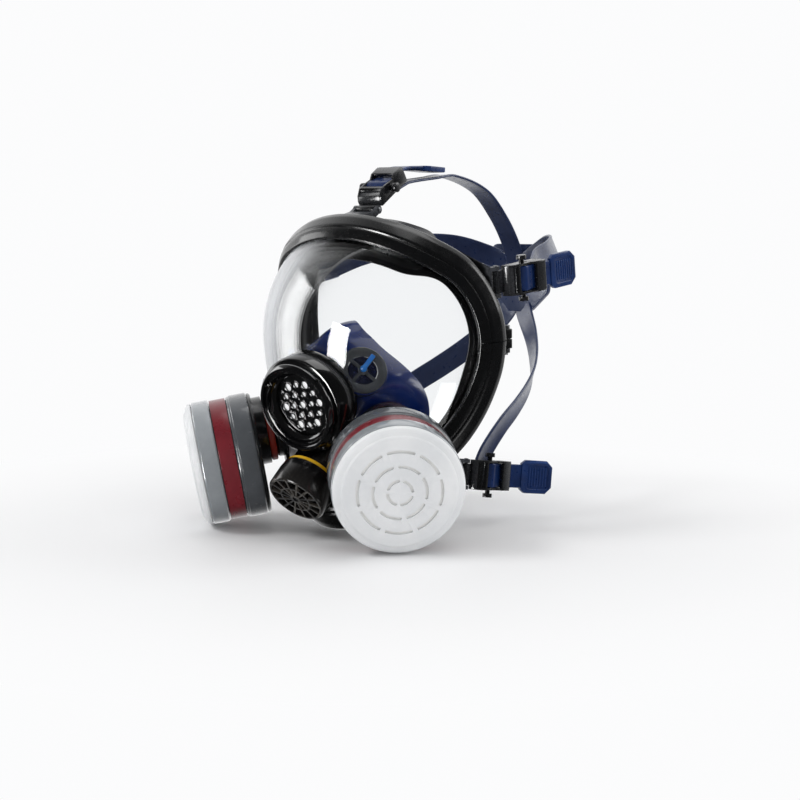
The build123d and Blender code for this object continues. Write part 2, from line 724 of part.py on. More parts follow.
def smoothed_rim():
    """(radius, y) of the rim for each of CUP_ANGLES, averaged twice."""
    samples = rim_samples()
    rim = [min(samples, key=lambda sample: abs(sample[0] - angle))[1:]
           for angle in CUP_ANGLES]
    for _ in range(2):
        middle = [((r0 + 2 * r1 + r2) / 4, (y0 + 2 * y1 + y2) / 4)
                  for (r0, y0), (r1, y1), (r2, y2) in zip(rim, rim[1:], rim[2:])]
        rim = [rim[0]] + middle + [rim[-1]]
    return rim


def cup_section(angle, rim_r, rim_y):
    dir_x, dir_z = cos(radians(angle)), sin(radians(angle))

    def flat_y(r):
        return CUP_Y + 0.45 - 0.2867 * dir_z * r

    flat_end = CUP_FLAT[-1]
    straight = 0.42 * ramp(-angle, 2, 30) * (1 - 0.5 * ramp(-angle, 60, 90))
    outer = [(r, flat_y(r)) for r in CUP_FLAT]
    for k in range(1, 9):
        f = pi / 2 * k / 8
        rise = (1 - straight) * (1 - cos(f)) + straight * sin(f)
        outer.append((flat_end + (rim_r - flat_end) * sin(f),
                      flat_y(flat_end) + (rim_y - flat_y(flat_end)) * rise))
    inner = [(r, flat_y(r) + CUP_T) for r in CUP_FLAT[:-1]]
    for i in range(len(CUP_FLAT) - 1, len(outer) - 1):
        (x0, y0), (x1, y1) = outer[i - 1], outer[i + 1]
        length = sqrt((x1 - x0) ** 2 + (y1 - y0) ** 2)
        inner.append((outer[i][0] - (y1 - y0) / length * CUP_T,
                      outer[i][1] + (x1 - x0) / length * CUP_T))
    # turned-in rim
    inner.append((outer[-1][0] - 3.2, outer[-1][1] + 0.8))
    return radial_plane(CUP_Z, dir_x, dir_z), outer, inner


def make_nose_cup():
    # one more section past the mid-plane at each end
    angles = [180 - CUP_ANGLES[1]] + CUP_ANGLES + [-180 - CUP_ANGLES[-2]]
    rim = smoothed_rim()
    rim = [rim[1]] + rim + [rim[-2]]
    half = half_shell([cup_section(angle, r, y) for angle, (r, y) in zip(angles, rim)])
    with BuildPart() as cup:
        add(half)
        mirror(half, about=Plane.YZ)
        for side, _ in SIDES:
            # boss, bore and flat face for a check valve
            frame = check_frame(side)
            add(rod(frame, -5.0, 6.0, CHECK_BOSS_R))
            add(rod(frame, -20, 30, 12.4), mode=Mode.SUBTRACT)
            add(rod(frame, 1.05, 8, 17.0), mode=Mode.SUBTRACT)
        # room for the voicemitter throat, the exhale neck and the lens
        add(rod(VOICEMITTER, -33.3, 20, 28.9), mode=Mode.SUBTRACT)
        add(rod(EXHALE, -62, 40, 17.2), mode=Mode.SUBTRACT)
        add(AHEAD_OF_LENS_BACK, mode=Mode.SUBTRACT)
        add(pieces["voicemitter_housing"], mode=Mode.SUBTRACT)
    return cup.part


def make_check_seat(frame):
    with BuildPart() as seat:
        add(turned(frame, [(0, -4.0), (12.2, -4.0), (12.2, 1.2), (16.6, 1.2), (16.6, 2.2),
                           (15.8, 2.9), (12.6, 2.9), (11.8, 2.4), (0, 2.4)]))
        add(turned(frame, [(0, -5), (10.6, -5), (10.6, 0.9), (0, 0.9)]), mode=Mode.SUBTRACT)
        # four windows between crossed spokes, then the stem hole
        with BuildSketch(disc_plane(frame)):
            Circle(10.4)
            Circle(3.4, mode=Mode.SUBTRACT)
            with Locations(Rot(0, 0, 45)):
                Rectangle(24, 2.2, mode=Mode.SUBTRACT)
                Rectangle(2.2, 24, mode=Mode.SUBTRACT)
        extrude(amount=4, mode=Mode.SUBTRACT)
        add(rod(frame, 0, 4, 1.6), mode=Mode.SUBTRACT)
        # trimmed where it meets the lens and the voicemitter neck
        add(AHEAD_OF_LENS_BACK, mode=Mode.SUBTRACT)
        add(rod(VOICEMITTER, -45, 35, VM_NECK_R + 0.2), mode=Mode.SUBTRACT)
    return seat.part


def make_check_valve(frame, side):
    lateral = Vector(side * 0.621, 0.764, 0)
    lean = (frame.radial * 6.4 + lateral * 5.6).normalized()
    with BuildPart() as valve:
        add(turned(frame, [(0, -0.6), (10.2, -0.6), (10.2, 0.5), (1.5, 0.6), (1.5, 3.2),
                           (2.2, 4.2), (2.2, 5.4), (1.2, 6.4), (0, 6.4)]))
        # pull tab that leans up and outward
        with BuildSketch(Plane(origin=frame.origin, x_dir=lean, z_dir=lean.cross(frame.axis))):
            with BuildLine():
                Polyline((-1.5, 4.3), (1.0, 4.3), (3.2, 5.6), (10.4, 9.0), (9.6, 10.6),
                         (1.4, 7.2), (-1.5, 5.8), close=True)
            make_face()
        extrude(amount=1.5, both=True)
    return valve.part


pieces["nose_cup"] = make_nose_cup()
for side, hand in SIDES:
    pieces["check_seat_" + hand] = make_check_seat(check_frame(side))
    pieces["check_valve_" + hand] = make_check_valve(check_frame(side), side)

# ================================================================ buckles, lugs, strap ends
# pin: hinge pin centre; along, wide, out: unit directions of the buckle;
# arc: place on the loop; tail: (along, out) points of the strap tail
Buckle = namedtuple("Buckle", "pin along wide out arc tail")


def buckle(pin, along, out, arc, tail):
    along = Vector(*along).normalized()
    out = Vector(*out)
    out = (out - along * out.dot(along)).normalized()
    return Buckle(Vector(*pin), along, out.cross(along), out, arc, tail)


BUCKLES = {"top": buckle((0, -1.0, 77.5), (0, 0.84, 0.54), (0, -0.54, 0.84), 0.0,
                         [(38, 7.2), (44, 6.4), (52, 2.6), (66, -6.5), (82, -18.5)])}
# left buckle, mirrored to the right: name, pin, along, arc, tail
SIDE_BUCKLES = [
    ("temple", (90.0, 27.5, 28.5), (0.17, 0.975, 0.13), ARC_TEMPLE,
     [(38, 7.4), (46, 7.0), (54, 6.6), (62, 6.3), (71, 6.0)]),
    ("cheek", (60.5, 33.0, -107.5), (0.06, 0.985, -0.13), ARC_CHEEK,
     [(38, 7.6), (44, 8.6), (53, 11.4), (63, 15.3), (74, 19.6)]),
]
for spot, pin, along, arc, tail in SIDE_BUCKLES:
    for side, hand in SIDES:
        BUCKLES[f"{spot}_{hand}"] = buckle((side * pin[0], *pin[1:]),
                                           (side * along[0], *along[1:]),
                                           (side, 0, 0), side * arc, tail)

ROLL_U, ROLL_W = 20.0, 5.5               # roller axis: along and out from the pin
CHEEK_IN, CHEEK_T = 9.0, 1.5             # inner face and thickness of the side cheeks
BODY_HALF = 9.2                          # half width of the plates between the cheeks
# Buckle profiles of (along, out)
CHEEK_PROFILE = [(5, 0), (38, 0), (38, 11.0), (36.5, 11.9), (28, 11.9), (24.5, 9.4),
                 (16.5, 10.4), (11, 10.4), (6.5, 6.8), (5, 3.4)]
NOSE_PLATE = [(5, 1.2), (7.2, 5.2), (9.6, 7.0), (9.0, 8.2), (6.3, 6.4), (5, 3.4)]
FRONT_BAR = [(10.2, 6.6), (12.6, 6.2), (14.6, 7.0), (14.8, 9.2), (13.4, 10.4), (11.4, 10.4),
             (10.2, 9.2)]
REAR_BRIDGE = [(28, 9.8), (29, 9.4), (38, 9.4), (38, 11.2), (36.8, 11.9), (28.6, 11.9),
               (28, 11.2)]
# Outline of the paddle tab on the strap end: (along, across)
TAB_OUTLINE = [(-13, -9.5), (-9.5, -12), (8, -12), (13, -7.5), (13, 7.5), (8, 12),
               (-9.5, 12), (-13, 9.5)]


def across(b, shift=0.0):
    """Plane across the buckle's width: x along, y out; its normal is minus wide."""
    return Plane(origin=b.pin + b.wide * shift, x_dir=b.along, z_dir=b.along.cross(b.out))


def make_buckle(b):
    with BuildPart() as body:
        # side cheeks, each with a slot for the roller
        for end in (1, -1):
            with BuildSketch(across(b, end * CHEEK_IN)):
                with BuildLine():
                    Polyline(*CHEEK_PROFILE, close=True)
                make_face()
                with Locations((ROLL_U + 1.5, ROLL_W)):
                    SlotCenterToCenter(3.2, 2 * 1.76, mode=Mode.SUBTRACT)
            extrude(amount=-end * CHEEK_T)
        # base plate with the strap window
        with BuildSketch(across(b)):
            with Locations((21.5, 1.0)):
                Rectangle(33, 2.0)
        extrude(amount=BODY_HALF, both=True)
        with BuildSketch(across(b)):
            with Locations((20.0, 1.0)):
                Rectangle(22, 3.0)
        extrude(amount=8.8, both=True, mode=Mode.SUBTRACT)
        with BuildSketch(across(b)):
            for profile in (NOSE_PLATE, FRONT_BAR, REAR_BRIDGE):
                with BuildLine():
                    Polyline(*profile, close=True)
                make_face()
        extrude(amount=BODY_HALF, both=True)
        # hinge barrel
        with BuildSketch(across(b)):
            Circle(3.0)
            with Locations((3.4, 0.6)):
                Rectangle(5.6, 2.8)
        extrude(amount=7.6, both=True)
        with BuildSketch(across(b)):
            Circle(PIN_R + 0.05)
        extrude(amount=12, both=True, mode=Mode.SUBTRACT)
    return body.part


def make_roller(b):
    with BuildPart() as roller:
        # drum and thinner axle
        for radius, half_width in ((ROLLER_R, 8.7), (1.7, 15.4)):
            with BuildSketch(across(b)):
                with Locations((ROLL_U, ROLL_W)):
                    Circle(radius)
            extrude(amount=half_width, both=True)
        # end knobs
        for end in (1, -1):
            with BuildSketch(across(b, end * 13.0)):
                with Locations((ROLL_U, ROLL_W)):
                    Circle(3.4)
            extrude(amount=-end * 2.8)
    return roller.part


def strap_path(tail):
    """Centre line: lower run, turn round the roller, tail under the bridge."""
    turn_r = ROLLER_R + 0.15 + STRAP_T / 2
    path = [(30.0, -1.5), (26.5, -1.0), (23.0, 0.7), (ROLL_U, ROLL_W - turn_r)]
    for k in range(1, 8):
        angle = -pi / 2 - pi * k / 8
        path.append((ROLL_U + turn_r * cos(angle), ROLL_W + turn_r * sin(angle)))
    return path + [(ROLL_U, ROLL_W + turn_r), (23.6, 8.6), (27.0, 7.6), (32.0, 7.2)] + tail


def direction(start, end):
    length = sqrt((end[0] - start[0]) ** 2 + (end[1] - start[1]) ** 2)
    return (end[0] - start[0]) / length, (end[1] - start[1]) / length


def make_strap(b):
    path = strap_path(b.tail)
    left, right = [], []
    for i, (x, y) in enumerate(path):
        dx, dy = direction(path[max(i - 1, 0)], path[min(i + 1, len(path) - 1)])
        left.append((x - dy * STRAP_T / 2, y + dx * STRAP_T / 2))
        right.append((x + dy * STRAP_T / 2, y - dx * STRAP_T / 2))
    dx, dy = direction(path[-3], path[-1])
    end_along, end_out = path[-1]
    tab_along = b.along * dx + b.out * dy
    tab_out = (b.out * dx - b.along * dy).normalized()
    centre = b.pin + b.along * end_along + b.out * end_out - tab_along * 12
    with BuildPart() as strap:
        with BuildSketch(across(b)):
            with BuildLine():
                Polyline(*(left + list(reversed(right))), close=True)
            make_face()
        extrude(amount=STRAP_W / 2, both=True)
        # paddle tab with a shallow recess
        with BuildSketch(Plane(origin=centre - tab_out * 1.7, x_dir=tab_along, z_dir=tab_out)):
            with BuildLine():
                Polyline(*TAB_OUTLINE, close=True)
            make_face()
        extrude(amount=3.4)
        with BuildSketch(Plane(origin=centre + tab_out * 1.1, x_dir=tab_along, z_dir=tab_out)):
            with Locations((1, 0)):
                RectangleRounded(18, 18, 2.5)
        extrude(amount=2, mode=Mode.SUBTRACT)
    return strap.part


def make_lug(b):
    """Lug on the frame edge that carries the hinge pin."""
    point, tangent, outward, normal = station(b.arc)
    if tangent.dot(b.wide) <= 0:
        tangent = tangent * -1
    with BuildPart() as lug:
        # arm from the frame edge to the pin
        with BuildSketch(Plane(origin=point + outward * (FRAME_W + 0.5) + normal * -2.6,
                               x_dir=tangent, z_dir=outward)):
            Rectangle(20, 6.0)
        with BuildSketch(Plane(origin=b.pin - b.along * 6.2, x_dir=b.wide, z_dir=b.along)):
            Rectangle(21.4, 4.6)
        loft()
        # two ears round the pin
        for end in (1, -1):
            with BuildSketch(across(b, end * 8.0)):
                Circle(2.9)
                with Locations((-3.6, 0)):
                    Rectangle(7.2, 4.6)
            extrude(amount=-end * 2.7)
        # pin hole, then room for the hinge barrel between the ears
        for radius, half_width in ((PIN_R + 0.02, 14), (3.6, 8.0)):
            with BuildSketch(across(b)):
                Circle(radius)
            extrude(amount=half_width, both=True, mode=Mode.SUBTRACT)
    return lug.part


def make_hinge_pin(b):
    with BuildPart() as hinge_pin:
        with BuildSketch(across(b)):
            Circle(PIN_R)
        extrude(amount=11.2, both=True)
    return hinge_pin.part


for name, b in BUCKLES.items():
    pieces["buckle_" + name] = make_buckle(b)
    pieces["roller_" + name] = make_roller(b)
    pieces["strap_" + name] = make_strap(b)
pieces["strap_lugs"] = joined([make_lug(b) for b in BUCKLES.values()])
pieces["buckle_pins"] = joined([make_hinge_pin(b) for b in BUCKLES.values()])

# ================================================================ five-arm head harness
HEAD = Vector(0, 80, 0)                  # centre of the head ellipsoid
HEAD_RX, HEAD_RY, HEAD_RZ = 78, 105, 104
ARM_T = 2.0
# Centre lines (x, y, z), front to back; side arms on the wearer's left
CROWN_ARM = [(0, 33, 90.5), (0, 46, 95), (0, 70, 100.5), (0, 93, 102.5), (0, 134, 92),
             (0, 160, 72), (0, 178, 50), (0, 186, 32)]
TEMPLE_ARM = [(84.5, 65, 35.5), (83.5, 76, 37), (82, 92, 42), (76, 116, 47),
              (63, 142, 51), (44, 163, 50), (22, 179, 42), (6, 186, 34)]
# The same, followed by the outward direction (x, y, z)
CHEEK_ARM = [(58.6, 62, -93, 1, 0.05, -0.1), (59, 80, -79, 1, 0.15, -0.12),
             (57, 102, -67, 1, 0.3, -0.15), (52, 124, -56, 0.95, 0.5, -0.15),
             (44.5, 143, -46, 0.8, 0.7, -0.15), (34, 160, -34, 0.6, 0.85, -0.15),
             (22, 174, -20, 0.4, 0.95, -0.1), (10, 183, -4, 0.2, 1, -0.1),
             (5, 186, 6, 0.1, 1, 0)]
# Rear pad outline: (x, z from the pad centre)
PAD_OUTLINE = [(-14, -27), (14, -27), (30, -12), (32, 8), (20, 26), (-20, 26), (-32, 8),
               (-30, -12)]


def on_head(points, side=1):
    """Pairs of point and outward normal of the head ellipsoid."""
    pairs = []
    for x, y, z in points:
        point = Vector(side * x, y, z)
        rel = point - HEAD
        normal = Vector(rel.X / HEAD_RX ** 2, rel.Y / HEAD_RY ** 2, rel.Z / HEAD_RZ ** 2)
        pairs.append((point, normal.normalized()))
    return pairs


def make_arm(pairs):
    """Flat band through (point, outward direction) pairs."""
    with BuildPart() as band:
        last = len(pairs) - 1
        for i, (point, out) in enumerate(pairs):
            before, after = pairs[max(i - 1, 0)][0], pairs[min(i + 1, last)][0]
            tangent = (after - before).normalized()
            out = (out - tangent * out.dot(tangent)).normalized()
            with BuildSketch(Plane(origin=point, x_dir=out.cross(tangent), z_dir=tangent)):
                Rectangle(STRAP_W, ARM_T)
        loft()
    return band.part


def make_harness():
    arms = [make_arm(on_head(CROWN_ARM))]
    for side, _ in SIDES:
        arms.append(make_arm(on_head(TEMPLE_ARM, side)))
        arms.append(make_arm([(Vector(side * x, y, z), Vector(side * out_x, out_y, out_z))
                              for x, y, z, out_x, out_y, out_z in CHEEK_ARM]))
    with BuildPart() as harness:
        for arm in arms:
            add(arm)
        # pad at the back of the head
        with BuildSketch(Plane(origin=(0, 188.5, 25), x_dir=(1, 0, 0), z_dir=(0, -1, 0))):
            with BuildLine():
                Polyline(*PAD_OUTLINE, close=True)
            make_face()
            fillet(vertices(), 6)
        extrude(amount=5)
    return harness.part


pieces["harness"] = make_harness()

# ================================================================ write every piece
for name, part in pieces.items():
    part.label = name
    export_step(part, f"parts/{name}.step")
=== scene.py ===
"""Full-face breathing mask: clear lens, two side filters, voice unit, exhale valve and
a five-strap head harness.

It faces -Y with +Z up, and is mirrored about x = 0 with the wearer's left at +X.
Pieces are laid out in millimetres and turned into metres as meshes; the camera, floor
and lights are in metres.
"""
import bpy
import bmesh
import json
import math
import numpy as np
from mathutils import Matrix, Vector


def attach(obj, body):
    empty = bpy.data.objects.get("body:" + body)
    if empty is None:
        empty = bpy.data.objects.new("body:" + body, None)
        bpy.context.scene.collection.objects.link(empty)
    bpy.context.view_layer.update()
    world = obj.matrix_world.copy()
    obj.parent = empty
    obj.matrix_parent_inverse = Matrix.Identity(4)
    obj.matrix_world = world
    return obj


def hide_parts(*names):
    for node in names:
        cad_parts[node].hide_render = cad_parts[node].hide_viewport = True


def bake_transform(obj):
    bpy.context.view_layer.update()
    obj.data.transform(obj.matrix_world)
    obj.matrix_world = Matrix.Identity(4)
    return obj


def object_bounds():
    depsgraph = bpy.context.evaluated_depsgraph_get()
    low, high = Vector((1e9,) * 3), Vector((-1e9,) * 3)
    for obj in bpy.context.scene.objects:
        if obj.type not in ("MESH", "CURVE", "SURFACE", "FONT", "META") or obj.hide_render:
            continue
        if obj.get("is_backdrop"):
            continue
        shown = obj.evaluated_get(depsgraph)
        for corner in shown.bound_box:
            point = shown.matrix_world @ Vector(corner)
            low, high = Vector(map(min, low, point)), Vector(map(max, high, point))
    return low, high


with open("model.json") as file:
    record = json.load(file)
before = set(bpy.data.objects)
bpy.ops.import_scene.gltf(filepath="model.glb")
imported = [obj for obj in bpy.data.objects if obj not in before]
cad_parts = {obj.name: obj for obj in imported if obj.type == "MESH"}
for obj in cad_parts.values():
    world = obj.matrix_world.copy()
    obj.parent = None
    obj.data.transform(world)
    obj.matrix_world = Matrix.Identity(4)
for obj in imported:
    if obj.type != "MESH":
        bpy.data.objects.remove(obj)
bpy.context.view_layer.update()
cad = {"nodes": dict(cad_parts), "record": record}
METRES = 0.001                       # metres in a millimetre
SIDES = ((1, "left"), (-1, "right"))


def vec(*parts):
    return np.array(parts, float)


def unit(vector):
    vector = np.asarray(vector, float)
    return vector / np.linalg.norm(vector)


X, Y, Z = vec(1, 0, 0), vec(0, 1, 0), vec(0, 0, 1)

# ------------------------------------------------------------------ driving sizes (mm)
LENS_R, LENS_CENTRE_Y, LENS_CENTRE_Z = 93.0, 28.0, -10.0
LENS_LOW_SQUASH = 0.514              # scale on height below the centre, which lengthens the chin
LENS_TAPER, LENS_TAPER_SPAN = 0.28, 112.0
LENS_THICK = 2.5
LENS_EDGE = 4.9                      # lens edge beyond the frame loop
FRAME_OUT = 21.5                     # frame's reach beyond the loop
SEAM_Z, SEAM_GAP = -12.0, 0.4        # split between the frame halves

VOICE_NECK_R, EXHALE_NECK_R, PORT_NECK_R = 23.8, 14.0, 17.5
NECK_CLEAR = 0.3                     # lens holes beyond the necks
VOICE_TILT = math.radians(16)
VOICE_AT = vec(0, -79.3, -55.9)
VOICE_AXIS = vec(0, -math.cos(VOICE_TILT), -math.sin(VOICE_TILT))
EXHALE_AT = vec(0, -78.4, -116.7)
EXHALE_AXIS = unit(vec(0, -0.755, -0.654))

FILTER_R = 43.5
FILTER_DROP = 15.0                   # filter centre below its port

STRAP_WIDTH, STRAP_THICK = 17.0, 1.6
ROLLER_R, ROLLER_CLEAR = 3.0, 0.15
ROLLER_ALONG, ROLLER_OUT = 20.0, 5.5  # roller centre from the buckle pin


# ------------------------------------------------------------------ curves
def smoothstep(value, low, high):
    part = min(1.0, max(0.0, (value - low) / (high - low)))
    return part * part * (3 - 2 * part)


def spread(first, last, count):
    return [first + (last - first) * i / (count - 1) for i in range(count)]


def hermite(start, end, slope_in, slope_out, t):
    return (start * (2 * t ** 3 - 3 * t ** 2 + 1) + slope_in * (t ** 3 - 2 * t ** 2 + t)
            + end * (-2 * t ** 3 + 3 * t ** 2) + slope_out * (t ** 3 - t ** 2))


def curve_span(before, start, end, after, steps, first=False, last=False):
    """Points along one span of a Catmull-Rom curve, leaving out its end."""
    corners = ((before, start), (start, end), (end, after))
    gap_in, gap, gap_out = (max(np.linalg.norm(b - a), 1e-6) for a, b in corners)
    slope_in = end - start if first else (end - before) * (gap / (gap_in + gap))
    slope_out = end - start if last else (after - start) * (gap / (gap + gap_out))
    return [hermite(start, end, slope_in, slope_out, j / steps) for j in range(steps)]


def closed_curve(points, steps=40):
    count, out = len(points), []
    for i in range(count):
        out += curve_span(*(points[(i + j - 1) % count] for j in range(4)), steps)
    return np.array(out)


def run_lengths(points):
    """Distance along a line of points at each point."""
    gaps = np.linalg.norm(np.diff(points, axis=0), axis=1)
    return np.concatenate([[0], np.cumsum(gaps)])


def interp_rows(at, knots, rows):
    return np.stack([np.interp(at, knots, rows[:, i]) for i in range(rows.shape[1])], -1)


def open_curve(points, step):
    """Smooth open path resampled about every step: (points, distances along it)."""
    points = np.array(points, float)
    last, out = len(points) - 1, []
    for i in range(last):
        out += curve_span(points[max(i - 1, 0)], points[i], points[i + 1],
                          points[min(i + 2, last)], 16, first=i == 0, last=i == last - 1)
    out = np.array(out + [points[-1]])
    runs = run_lengths(out)
    at = np.linspace(0, runs[-1], max(int(runs[-1] / step), 2) + 1)
    return interp_rows(at, runs, out), at


def direction_at(points, i):
    return unit(points[min(i + 1, len(points) - 1)] - points[max(i - 1, 0)])


def spline_rings(rings, steps, closed):
    """Cubic spline through section rings, evenly spaced by ring number."""
    rings = np.asarray(rings, float)
    count = len(rings)
    matrix = np.zeros((count, count))
    target = np.zeros(rings.shape)
    for i in range(count):
        before, after = (i - 1) % count, (i + 1) % count
        if closed or 0 < i < count - 1:
            matrix[i, before] = 1
            matrix[i, i] = 4
            matrix[i, after] = 1
            target[i] = 3 * (rings[after] - rings[before])
        elif i == 0:
            matrix[0, 0], matrix[0, 1] = 2, 1
            target[0] = 3 * (rings[1] - rings[0])
        else:
            matrix[i, i], matrix[i, i - 1] = 2, 1
            target[i] = 3 * (rings[i] - rings[i - 1])
    slopes = np.linalg.solve(matrix, target.reshape(count, -1)).reshape(target.shape)
    out = []
    for i in range(count if closed else count - 1):
        j = (i + 1) % count
        out += [hermite(rings[i], rings[j], slopes[i], slopes[j], k / steps)
                for k in range(steps)]
    if not closed:
        out.append(rings[-1])
    return np.array(out)


def round_poly(points, radius=0.6, steps=3, closed=True, radii=None):
    """Rounds every corner of a polygon; each corner becomes steps + 1 points."""
    points = [vec(*p) for p in points]
    count, out = len(points), []
    for i, corner in enumerate(points):
        if not closed and i in (0, count - 1):
            out.append(corner)
            continue
        back, ahead = points[(i - 1) % count] - corner, points[(i + 1) % count] - corner
        back_len, ahead_len = np.linalg.norm(back), np.linalg.norm(ahead)
        size = radii[i] if radii is not None else radius
        cosine = np.clip(back.dot(ahead) / (back_len * ahead_len), -0.9999, 0.9999)
        half = math.acos(cosine) / 2
        cut = min(size / max(math.tan(half), 1e-3), 0.45 * back_len, 0.45 * ahead_len)
        start, end = corner + back / back_len * cut, corner + ahead / ahead_len * cut
        for k in range(steps + 1):
            t = k / steps
            out.append(start * (1 - t) ** 2 + corner * 2 * t * (1 - t) + end * t ** 2)
    return np.array(out)


def rounded_rect(width, height, radius):
    x, y = width / 2, height / 2
    return round_poly([(-x, -y), (x, -y), (x, y), (-x, y)], radius, 4)


# ------------------------------------------------------------------ lens surface and frame loop
def lens_y(x, z, grow=0.0):
    """Y of the lens's outer face at (x, z); grow adds to its radius."""
    x, z = np.asarray(x, float), np.asarray(z, float)
    scale_z = np.where(z > LENS_CENTRE_Z, 1.0, LENS_LOW_SQUASH)
    depth = np.maximum(0.0, (LENS_CENTRE_Z - z) / LENS_TAPER_SPAN)
    scale_x = 1 + LENS_TAPER * depth ** 1.5
    square = (LENS_R + grow) ** 2 - (scale_x * x) ** 2 - (scale_z * (z - LENS_CENTRE_Z)) ** 2
    return LENS_CENTRE_Y - np.sqrt(np.maximum(square, 30.0))


def lens_normal(x, z):
    """Unit normal of the outer face, pointing forwards."""
    step = 0.05
    slope_x = (lens_y(x + step, z) - lens_y(x - step, z)) / (2 * step)
    slope_z = (lens_y(x, z + step) - lens_y(x, z - step)) / (2 * step)
    normal = np.stack([slope_x, -np.ones_like(slope_x), slope_z], -1)
    return normal / np.linalg.norm(normal, axis=-1, keepdims=True)


# left half of the frame loop from brow to chin: (x, z) on the lens
HALF_LOOP = [
    (0, 58.3), (19, 56.9), (36.9, 52.8), (59.3, 43.4), (77.9, 29.2), (86.9, 12.4),
    (90.7, -5.9), (89.5, -24.1), (82.9, -48.4), (74.1, -67.7), (62, -84.5),
    (46, -101), (25, -116.5), (0, -122.5)]
left_half = [vec(x, float(lens_y(x, z)), z) for x, z in HALF_LOOP]
right_half = [vec(-x, y, z) for x, y, z in reversed(left_half[1:-1])]
loop = closed_curve(left_half + right_half)
LOOP = np.vstack([loop, loop[:1]])
LOOP_RUNS = run_lengths(LOOP)
LOOP_LEN = LOOP_RUNS[-1]
HALF_LEN = LOOP_LEN / 2


def loop_point(along):
    return interp_rows(along % LOOP_LEN, LOOP_RUNS, LOOP)


def station(along):
    """Place on the loop: point, tangent, outward direction on the lens, lens normal."""
    point = loop_point(along)
    tangent = unit(loop_point(along + 4) - loop_point(along - 4))
    normal = lens_normal(point[0], point[2])
    normal = unit(normal - tangent * normal.dot(tangent))
    return point, tangent, unit(np.cross(normal, tangent)), normal


def loop_at_height(z):
    """Distance down the left side of the loop to height z."""
    low, high = 30.0, HALF_LEN
    for _ in range(50):
        middle = (low + high) / 2
        if loop_point(middle)[2] > z:
            low = middle
        else:
            high = middle
    return low


SEAM_ALONG = loop_at_height(SEAM_Z)


def loop_rings(along, section, steps, closed, radii):
    """Rings of an (outwards, forwards) section carried round the loop, corners rounded."""
    rings = []
    for s in along:
        point, _, outward, normal = station(s)
        rings.append([point + outward * q[0] + normal * q[1] for q in section(s)])
    return np.array([round_poly(ring, steps=4, radii=radii)
                     for ring in spline_rings(rings, steps, closed)])


# ------------------------------------------------------------------ places of filters and buckles
def filter_frame(side):
    """Places (origin, outward axis, upward radial) of a filter's back and of its port."""
    axis = unit(vec(side * 0.69, -0.70, -0.18))
    up = unit(Z - axis * axis[2])
    back = vec(side * 59.0, -48.5, -93.0)
    return (back, axis, up), (back + up * FILTER_DROP, axis, up)


def check_frame(side):
    """Place (origin, forward axis, upward radial) of a check valve in the nose cup."""
    axis = unit(vec(side * 0.69, -0.56, 0.43))
    return vec(side * 29.5, -43.0, -30.8), axis, unit(Z - axis * axis[2])


# buckle name: (pin centre, way the strap runs back, rough outward direction)
BUCKLES = {"top": (vec(0, -1.0, 77.5), vec(0, 0.84, 0.54), vec(0, -0.54, 0.84))}
for kind, pin, along in (("temple", (90.0, 27.5, 28.5), (0.17, 0.975, 0.13)),
                         ("cheek", (60.5, 33.0, -107.5), (0.06, 0.985, -0.13))):
    for side, hand in SIDES:
        mirror = vec(side, 1, 1)
        BUCKLES[f"{kind}_{hand}"] = (vec(*pin) * mirror, vec(*along) * mirror, X * side)


def buckle_frame(name):
    """Pin centre and the directions along, across and out from the buckle."""
    pin, along, out = BUCKLES[name]
    along = unit(along)
    out = unit(out - along * out.dot(along))
    return pin, along, np.cross(out, along), out


# ------------------------------------------------------------------ mesh helpers
def merge_and_orient(ob, distance):
    """Merges vertices closer than a distance in metres and turns the faces outwards."""
    bm = bmesh.new()
    bm.from_mesh(ob.data)
    bmesh.ops.remove_doubles(bm, verts=bm.verts, dist=distance)
    bmesh.ops.recalc_face_normals(bm, faces=bm.faces)
    bm.to_mesh(ob.data)
    bm.free()


def new_mesh(name, verts, faces, look, smooth=True):
    mesh = bpy.data.meshes.new(name)
    mesh.from_pydata([tuple(np.asarray(v, float) * METRES) for v in verts], [], faces)
    mesh.validate()
    ob = bpy.data.objects.new(name, mesh)
    bpy.context.scene.collection.objects.link(ob)
    if look:
        mesh.materials.append(LOOKS[look])
    merge_and_orient(ob, 1e-7)
    if smooth:
        mesh.polygons.foreach_set("use_smooth", [True] * len(mesh.polygons))
    return ob


def shade(ob, angle):
    """Smooth shading with sharp edges above an angle in degrees."""
    bm = bmesh.new()
    bm.from_mesh(ob.data)
    limit = math.radians(angle)
    for face in bm.faces:
        face.smooth = True
    for edge in bm.edges:
        edge.smooth = not (len(edge.link_faces) == 2 and edge.calc_face_angle(0.0) > limit)
    bm.to_mesh(ob.data)
    bm.free()
    return ob


def grid_faces(rows, cols, close_rows, close_cols):
    faces = []
    for i in range(rows if close_rows else rows - 1):
        for j in range(cols if close_cols else cols - 1):
            row, col = (i + 1) % rows, (j + 1) % cols
            faces.append((i * cols + j, row * cols + j, row * cols + col, i * cols + col))
    return faces


def tube(name, rings, look, closed=False):
    """Closed sections joined into one skin; open runs get end caps."""
    rings = np.asarray(rings, float)
    rows, cols = rings.shape[:2]
    faces = grid_faces(rows, cols, closed, True)
    if not closed:
        faces.append(tuple(range(cols)))
        faces.append(tuple((rows - 1) * cols + k for k in reversed(range(cols))))
    return new_mesh(name, rings.reshape(-1, 3), faces, look)


def spokes(axis, radial, count):
    """Directions evenly round an axis, starting at radial."""
    side = np.cross(axis, radial)
    turns = [2 * math.pi * i / count for i in range(count)]
    return [radial * math.cos(turn) + side * math.sin(turn) for turn in turns]


